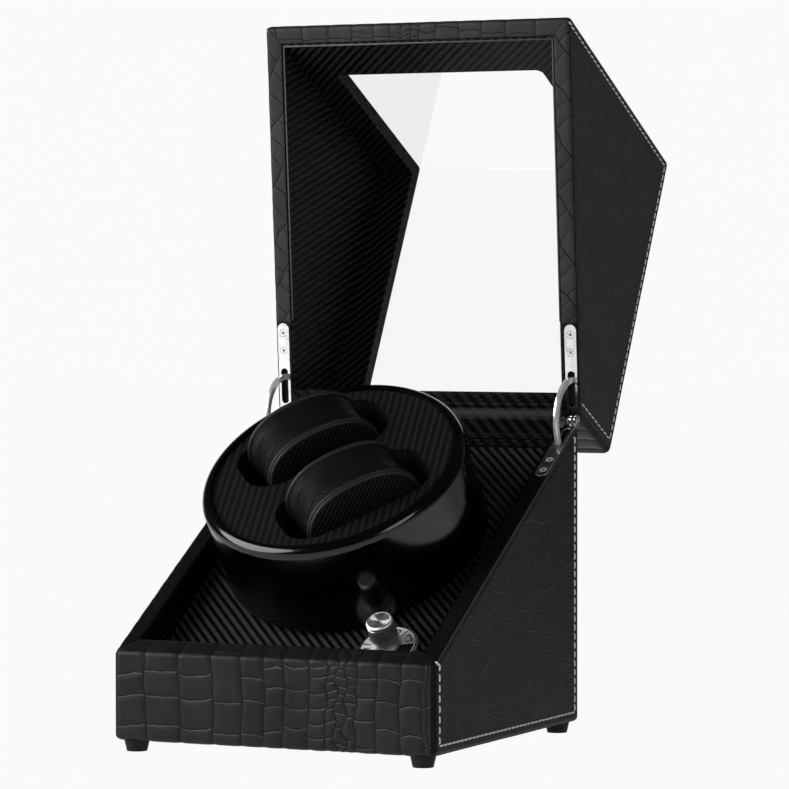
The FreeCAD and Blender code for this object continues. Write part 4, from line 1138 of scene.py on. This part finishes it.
def lid_edge_bars():
    """The pale cut edge of the lid's lining boards, round the front and both sides."""
    along = np.array([0.0, SPLIT_COS, SPLIT_SIN])
    out = np.array([0.0, SPLIT_SIN, -SPLIT_COS])
    inner = PANEL_T + LINING_T + BAR_PROUD - BAR_HALF_W
    rear = LEAF_TIP - 1.0

    def place(side, y):
        return np.array([side * (HALF_W - inner), y, rim_z(y, RIM_STEP + LINING_SET)])
    parts = [edge_bar(place(-1, inner), place(1, inner), along, out)]
    for side in (-1, 1):
        parts.append(edge_bar(place(side, inner), place(side, rear), ACROSS, out))
    points, faces = joined_parts(parts)
    mesh_piece("lid_lining_edge", in_lid(points), faces, PALE_EDGE, "lid")


# Stitching

STITCH_RINGS = 9
STITCH_SIDES = 8
STITCH_OUT = 0.18
CORNER_SHORT = 0.62
CORNER_BACK = 1.2
CORNER_IN = 0.42
CORNER_UP = 1.75


def stitch_form(thread):
    """One stitch along x: a thread that bows up and dives at both ends."""
    along = np.linspace(-1, 1, STITCH_RINGS)[:, None]
    angle = circle(STITCH_SIDES)
    thick = thread * np.sqrt(np.clip(1 - 0.92 * along ** 6, 0, 1))
    x = along * STITCH_LENGTH / 2 + 0 * angle
    y = thick * np.cos(angle) * 1.05
    z = 0.18 - 0.55 * along ** 4 + thick * np.sin(angle)
    return np.stack([x, y, z], axis=-1).reshape(-1, 3), tube_faces(STITCH_RINGS, STITCH_SIDES)


def corner_stitch(form, side, sign):
    """The first stitch of a row, which is short and leans over the fold onto the rim."""
    along = unit(np.array([-side * 0.5, -0.35, -sign * 0.75]))
    out = np.array([side * 0.6, -0.2, -sign * 0.75])
    out = unit(out - along * (out @ along))
    y = STITCH_INSET - CORNER_BACK
    place = np.array([side * (HALF_W - CORNER_IN), y, rim_z(y, sign * CORNER_UP)])
    return (form * [CORNER_SHORT, 1.0, 1.0]) @ np.stack([along, np.cross(out, along), out]) + place


def flank_stitches(sign):
    """All stitches of the base or the lid, both flanks."""
    lid = sign > 0
    form, faces = stitch_form(LID_THREAD_R if lid else BASE_THREAD_R)
    draw = np.random.default_rng(3 if lid else 4)
    parts = []
    for side in (-1, 1):
        out = side * ACROSS
        parts.append((corner_stitch(form, side, sign), faces))
        for (y0, z0), (y1, z1) in stitch_rows(sign):
            length = math.hypot(y1 - y0, z1 - z0)
            count = int(length / STITCH_PITCH)
            way = np.array([0.0, y1 - y0, z1 - z0]) / length
            for k in range(count):
                at = (k + 0.5) * length / count
                tilt = math.radians(4.0 + draw.uniform(-2.0, 2.0))
                long_way = way * math.cos(tilt) + np.cross(out, way) * math.sin(tilt)
                axes = np.stack([long_way, np.cross(out, long_way), out])
                centre = np.array([side * (HALF_W + STITCH_OUT), y0 + way[1] * at, z0 + way[2] * at])
                parts.append((form @ axes + centre, faces))
    points, all_faces = joined_parts(parts)
    place, body = home(lid)
    name = "lid_stitching" if lid else "base_stitching"
    mesh_piece(name, place(points), all_faces, THREAD, body)


# Watch cushions

CUSHION_AXES = np.array([
    [math.cos(DRUM_TURN), math.sin(DRUM_TURN), 0.0],
    [-math.sin(DRUM_TURN), math.cos(DRUM_TURN), 0.0],
    [0.0, 0.0, 1.0]])
CUSHION_BODY = ((-15.0, 1.0), (-12.0, 0.992), (-8.0, 0.978), (-4.0, 0.968), (0.0, 0.965))
CUSHION_END = (
    (15.6, 0.985), (16.6, 0.972), (17.4, 0.93), (18.1, 0.84), (18.6, 0.66), (18.85, 0.42), (18.95, 0.15))
CUSHION_TIP = 19.0
SEAM_AT = 15.0
PIPING_R = 1.0
PIPING_AT = ((14.9, 1.0), (16.5, 0.975))
PIPING_SIDES = 10
OVAL_POWER = 2.35
RING = 96


def oval_ring(size, m):
    """A ring of the cushion, squarer than an ellipse, at a place across it."""
    cos, sin = np.cos(circle(RING)), np.sin(circle(RING))
    length = CUSHION_HALF_L * size * np.sign(cos) * np.abs(cos) ** (2 / OVAL_POWER)
    height = CUSHION_HALF_H * size * np.sign(sin) * np.abs(sin) ** (2 / OVAL_POWER)
    return np.stack([length, np.full(RING, m), height], axis=-1)


def inside_oval(points, size):
    """Points drawn in to an oval of one size, where they lie outside it."""
    across = (np.abs(points[:, 0]) / CUSHION_HALF_L) ** OVAL_POWER
    reach = (across + (np.abs(points[:, 2]) / CUSHION_HALF_H) ** OVAL_POWER) ** (1 / OVAL_POWER)
    shrink = np.minimum(1.0, size / reach)
    return points * np.stack([shrink, np.ones(len(points)), shrink], axis=-1)


def cushion_place(points, node):
    """Cushion millimetres to the frame, from the middle of the box round the cushion's solid."""
    solid = NODES[node]
    corners = np.array([solid.matrix_world @ Vector(corner) for corner in solid.bound_box])
    middle = (corners.min(axis=0) + corners.max(axis=0)) / 2 / MM
    return on_deck(np.asarray(points) @ CUSHION_AXES, middle)


CLOTH_SCALE = 0.01
CLOTH_FRAMES = 20
CLOTH_CAP = 0.5
CLOTH_PRESSURE = 4.0


def blown_up(points, faces, held):
    """The form swollen as cloth under pressure, held where it is sewn, with each point's movement capped."""
    scene = bpy.context.scene
    mesh = new_mesh("cushion_cloth", points * CLOTH_SCALE, faces)
    piece = add_object("cushion_cloth", mesh)
    piece.vertex_groups.new(name="sewn").add([int(k) for k in held], 1.0, "REPLACE")
    cloth = piece.modifiers.new("cloth", "CLOTH")
    cloth.settings.quality = 6
    cloth.settings.mass = 0.3
    cloth.settings.use_pressure = True
    cloth.settings.uniform_pressure_force = CLOTH_PRESSURE
    cloth.settings.vertex_group_mass = "sewn"
    cloth.settings.shrink_min = -0.03
    cloth.settings.effector_weights.gravity = 0.0
    cloth.point_cache.frame_start = 1
    cloth.point_cache.frame_end = CLOTH_FRAMES
    for step in range(1, CLOTH_FRAMES + 1):
        scene.frame_set(step)
    after = piece.evaluated_get(bpy.context.evaluated_depsgraph_get()).data
    moved = np.array([vertex.co for vertex in after.vertices]) / CLOTH_SCALE - points
    scene.frame_set(1)
    bpy.data.objects.remove(piece)
    bpy.data.meshes.remove(mesh)
    reach = np.linalg.norm(moved, axis=1, keepdims=True)
    return points + moved * np.minimum(1.0, CLOTH_CAP / np.maximum(reach, 1e-9))


def cushion_body():
    """The leather roll: drawn in at its waist, with soft pulls running in from the piping."""
    profile = CUSHION_BODY + tuple((-m, size) for m, size in reversed(CUSHION_BODY[:-1]))
    fine = np.linspace(-SEAM_AT, SEAM_AT, 33)
    sizes = np.interp(fine, [p[0] for p in profile], [p[1] for p in profile])
    rings = np.stack([oval_ring(size, m) for m, size in zip(fine, sizes)])
    turn = circle(RING)
    near_seam = np.exp(-((SEAM_AT - np.abs(fine)) / 4.5) ** 2)[:, None]
    pulls = 0.16 * np.sin(23 * turn + 1.3 * np.sin(5 * turn)) * near_seam
    swell = 0.22 * np.sin(3 * turn + 0.7) * np.cos(fine / 7.0)[:, None]
    outward = unit(rings * [1.0, 0.0, 1.0])
    rings = rings + outward * (pulls + swell)[..., None]
    points, faces = rings.reshape(-1, 3), grid_faces(len(fine), RING, loop=True)[:, ::-1]
    sewn = np.concatenate([np.arange(RING), np.arange(len(points) - RING, len(points))])
    return inside_oval(blown_up(points, faces, sewn), 1.0), faces


def cushion_end(side):
    """One crowned end, as rings that close to its middle."""
    rings = np.stack([oval_ring(size, side * m) for m, size in CUSHION_END])
    points = np.concatenate([rings.reshape(-1, 3), [[0.0, side * CUSHION_TIP, 0.0]]])
    faces = [tuple(f) for f in grid_faces(len(CUSHION_END), RING, loop=True)]
    last = (len(CUSHION_END) - 1) * RING
    faces += [(last + k, last + (k + 1) % RING, len(points) - 1) for k in range(RING)]
    if side > 0:
        faces = [tuple(reversed(f)) for f in faces]
    return points, faces


def piping(m, size):
    """A sewn cord round the cushion."""
    ring = oval_ring(size, m)
    ahead = unit(np.roll(ring, -1, axis=0) - np.roll(ring, 1, axis=0))
    aside = np.array([0.0, 1.0, 0.0])
    outward = np.cross(ahead, aside)[:, None, :]
    angle = circle(PIPING_SIDES)[:, None]
    tube = ring[:, None, :] + PIPING_R * (np.cos(angle) * aside + np.sin(angle) * outward)
    points = tube.reshape(-1, 3)
    return points, grid_faces(RING + 1, PIPING_SIDES, loop=True) % len(points)


def add_cushion(name):
    node = "watch_" + name
    points, faces = cushion_body()
    placed = cushion_place(points, node)
    body = mesh_piece(name + "_body", placed, faces, CUSHION, name)
    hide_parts(node)
    points, faces = joined_parts([cushion_end(-1), cushion_end(1)])
    placed = cushion_place(points, node)
    ends = mesh_piece(name + "_ends", placed, faces, CARBON["cushion"], name)
    points, faces = joined_parts([piping(side * m, size) for side in (-1, 1) for m, size in PIPING_AT])
    placed = cushion_place(points, node)
    mesh_piece(name + "_piping", placed, faces, PIPING, name)


# Knob and dial

KNOB_SIDES = 96
KNOB_SHARP = math.radians(28)


def add_knob():
    """Turned aluminium: dished face, bright chamfers with a groove between them, and a shaft end that hides
    the switch."""
    low, high, wide, narrow = KNOB_LOW, KNOB_H + KNOB_LOW, KNOB_R, KNOB_TOP_R
    outline = np.array([
        (wide - 1.6, low), (wide - 0.35, low), (wide, low + 0.35), (wide, low + 0.9),
        (wide - 0.08, low + 1.2), (narrow + 0.02, high - 3.2), (narrow - 0.02, high - 2.5),
        (narrow - 0.32, high - 2.35), (narrow - 0.32, high - 2.0), (narrow, high - 1.85),
        (narrow, high - 0.95), (narrow - 0.75, high - 0.12), (narrow - 0.9, high - 0.06),
        (narrow - 1.1, high - 0.16), (narrow - 1.25, high - 0.2), (3.0, high - 0.24), (0.6, high - 0.25)])
    angle = circle(KNOB_SIDES)
    radius, height = outline[:, :1], outline[:, 1:]
    points = np.stack([radius * np.cos(angle), radius * np.sin(angle), height + 0 * angle], axis=-1)
    faces = tube_faces(len(outline), KNOB_SIDES)
    knob = mesh_piece("knob", points.reshape(-1, 3) * MM, faces, TURNED, None)
    knob.data.set_sharp_from_angle(angle=KNOB_SHARP)
    axes = Matrix(DECK_AXES.tolist()).transposed().to_4x4()
    knob.matrix_world = Matrix.Translation(Vector(KNOB_FOOT) * MM) @ axes
    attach(knob, "knob")
    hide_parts("control_knob")


def ring_part(inner, outer, start, end, low, high):
    """A flat piece of a ring, in degrees, with its sides."""
    count = max(2, int(abs(end - start) / 4) + 1)
    angle = np.radians(np.linspace(start, end, count))
    corners = ((inner, high), (outer, high), (outer, low), (inner, low))
    points = np.concatenate([
        np.stack([radius * np.cos(angle), radius * np.sin(angle), np.full(count, z)], axis=-1)
        for radius, z in corners])
    faces = []
    for band in range(4):
        for k in range(count - 1):
            a, b = band * count + k, ((band + 1) % 4) * count + k
            faces.append((a, b, b + 1, a + 1))
    faces.append((0, 3 * count, 2 * count, count))
    faces.append((count - 1, 2 * count - 1, 3 * count - 1, 4 * count - 1))
    return points, faces


PRINT_SUNK = 0.05
PRINT_RAISED = 0.06
EDGE_RAISED = 0.22
DIAL_LINES = (62.0, 118.0, 176.0, 232.0, 286.0)
DIAL_PLACES = (38.0, 90.0, 147.0, 204.0, 259.0)


def add_dial():
    """Plain printed marks, a dark sector, lines between the positions and a bracket at each of them, and the
    plate's raised edge."""
    low, high = DIAL_T - PRINT_SUNK, DIAL_T + PRINT_RAISED
    marks = [(6.0, 13.6, -38.0, 14.0)]
    for turn in DIAL_LINES:
        marks.append((5.6, 14.3, turn - 1.6, turn + 1.6))
    for turn in DIAL_PLACES:
        marks.append((12.2, 12.9, turn - 13.0, turn + 13.0))
        marks.append((9.4, 12.9, turn - 14.0, turn - 10.5))
        marks.append((10.6, 12.9, turn + 10.5, turn + 14.0))
    points, faces = joined_parts([ring_part(*mark, low, high) for mark in marks])
    mesh_piece("dial_print", on_deck(points, KNOB_FOOT), faces, INK_AND_SHADE, "case", False)
    quarters = [(14.5, 15.3, 90.0 * k, 90.0 * k + 90.0) for k in range(4)]
    points, faces = joined_parts([ring_part(*quarter, low, DIAL_T + EDGE_RAISED) for quarter in quarters])
    mesh_piece("dial_edge", on_deck(points, KNOB_FOOT), faces, CHROME, "case", False)


# Hinge screws

SLOT_REACH = 1.1
SLOT_HALF = 0.25
SLOT_RAISED = 0.03
SLOT_DEEP = 0.05


def cross_slot():
    """The cross cut in a screw head, as a dark inlay: painted shade standing in for the recess."""
    w, r = SLOT_HALF, SLOT_REACH
    cross = [
        (w, r), (-w, r), (-w, w), (-r, w), (-r, -w), (-w, -w),
        (-w, -r), (w, -r), (w, -w), (r, -w), (r, w), (w, w)]
    points = np.array([(x, y, z) for z in (-SLOT_DEEP, SLOT_RAISED) for x, y in cross])
    return points, tube_faces(2, len(cross))


def add_screw_slots(lid):
    """Laid on the head of each hinge screw, along the rim from the pin."""
    sign = 1.0 if lid else -1.0
    along = np.array([0.0, -SPLIT_COS, -SPLIT_SIN])
    out = sign * np.array([0.0, SPLIT_SIN, -SPLIT_COS])
    pin = PIVOT - [0.0, FRONT_Y, 0.0]
    form, form_faces = cross_slot()
    parts = []
    for side in (-1, 1):
        for k, reach in enumerate(LEAF_SCREWS):
            turn = 0.5 + 1.1 * k + 0.4 * side
            first = along * math.cos(turn) + ACROSS * math.sin(turn)
            axes = np.stack([first, np.cross(out, first), out])
            centre = pin + side * HINGE_X * ACROSS + along * reach - out * RIM_GAP / 2
            parts.append((form @ axes + centre, form_faces))
    points, faces = joined_parts(parts)
    place, body = home(lid)
    name = "lid_screw_slots" if lid else "base_screw_slots"
    mesh_piece(name, place(points), faces, INK_AND_SHADE, body, False)


finish_nodes()
base_front_sheet()
base_rear_sheet()
for flank_side in (-1, 1):
    flank_sheet(flank_side, -1)
    flank_sheet(flank_side, 1)
lid_sheets()
hinge_cloth()
lid_edge_bars()
flank_stitches(-1)
flank_stitches(1)
add_cushion("cushion_front")
add_cushion("cushion_rear")
add_knob()
add_dial()
add_screw_slots(False)
add_screw_slots(True)


# Camera, light and floor

PHOTO_SIDE = 789
CAMERA_AT = (912.31, -1908.96, 240.86)
CAMERA_YAW = math.radians(25.641)
CAMERA_PITCH = math.radians(1.666)
CAMERA_ROLL = math.radians(0.048)
FOCAL_PIXELS = 3978.2
PICTURE_SHIFT = (2.2, -2.0)
SENSOR = 36.0


def add_camera():
    data = bpy.data.cameras.new("camera")
    data.sensor_width = SENSOR
    data.lens = FOCAL_PIXELS / PHOTO_SIDE * SENSOR
    data.shift_x = -PICTURE_SHIFT[0] / PHOTO_SIDE
    data.shift_y = PICTURE_SHIFT[1] / PHOTO_SIDE
    data.clip_end = 50.0
    camera = add_object("camera", data)
    turn = (
        Matrix.Rotation(CAMERA_YAW, 4, "Z")
        @ Matrix.Rotation(math.pi / 2 - CAMERA_PITCH, 4, "X")
        @ Matrix.Rotation(-CAMERA_ROLL, 4, "Z"))
    camera.matrix_world = Matrix.Translation(Vector(CAMERA_AT) * MM) @ turn
    bpy.context.scene.camera = camera


def add_lamp(name, at, aim, size, power):
    data = bpy.data.lights.new(name, "AREA")
    data.shape = "ELLIPSE"
    data.size, data.size_y = size
    data.energy = power
    lamp = add_object(name, data)
    lamp.location = at
    lamp.rotation_euler = (Vector(aim) - Vector(at)).to_track_quat("-Z", "Y").to_euler()


BACKDROP = (0.956, 0.956, 0.956)
AMBIENT = 0.5
OVERHEAD = 0.05
ROOM = 0.035
BEHIND = (-0.435, 0.9, 0.0)
FLOOR_HALF = 6.0
FLOOR_SEEN = 0.998
FLOOR_NEAR = 0.8
FLOOR_FAR = 0.12


def add_world():
    """A white backdrop behind the box in a dim room: gloss sees both, and plain light is even."""
    world = bpy.data.worlds.new("studio")
    bpy.context.scene.world = world
    world.use_nodes = True
    graph = Graph(world.node_tree)
    background = world.node_tree.nodes["Background"].inputs
    way = graph.node("TexCoord", output="Generated")
    facing = graph.node("VectorMath", {0: way, 1: BEHIND}, "Value", operation="DOT_PRODUCT")
    mirrored = graph.spread(facing, 0.72, 0.94, ROOM, 1.0)
    plain = graph.spread(graph.split(way)[2], 0.0, 0.9, AMBIENT, OVERHEAD)
    depth = graph.ray("Glossy Depth")
    level = graph.spread(depth, 0.0, 1.0, plain, mirrored)
    direct = graph.fade(depth, 0.0, 1.0, graph.ray("Is Transmission Ray"))
    seen = graph.calc("MAXIMUM", graph.ray("Is Camera Ray"), direct)
    graph.feed(background["Color"], BACKDROP)
    graph.feed(background["Strength"], graph.spread(seen, 0.0, 1.0, level, 1.0))


def add_floor():
    """A pale card that looks like the backdrop and dims with distance in mirrors."""
    paint = Paint("floor_card", Roughness=0.9, Specular_IOR_Level=0.0, Base_Color=(0.95, 0.95, 0.95))
    glow = paint.node("Emission", {"Color": BACKDROP})
    reach = paint.length(paint.node("TexCoord", output="Object"))
    mirrored = paint.spread(reach, 0.15, 0.9, FLOOR_NEAR, FLOOR_FAR)
    share = paint.spread(paint.ray("Is Glossy Ray"), 0.0, 1.0, 0.0, mirrored)
    seen = paint.calc("MAXIMUM", paint.ray("Is Camera Ray"), paint.ray("Is Transmission Ray"))
    glowing = paint.spread(seen, 0.0, 1.0, share, FLOOR_SEEN)
    card = Signal(paint, paint.shader.outputs[0])
    blend = paint.node("MixShader", {0: glowing, 1: card, 2: glow})
    paint.feed(paint.tree.nodes["Material Output"].inputs["Surface"], blend)
    corners = [(x * FLOOR_HALF, y * FLOOR_HALF, 0) for x, y in ((-1, -1), (1, -1), (1, 1), (-1, 1))]
    mesh = new_mesh("floor", corners, [(0, 1, 2, 3)])
    mesh.materials.append(paint.material)
    add_object("floor", mesh)


add_camera()
add_lamp("key", (-1.2, -1.0, 0.8), (0, 0, 0.17), (1.5, 1.5), 32.0)
add_lamp("fill", (1.45, -1.1, 0.7), (0, 0, 0.16), (0.9, 1.0), 6.0)
add_world()
add_floor()
bpy.context.scene.view_settings.view_transform = "Standard"
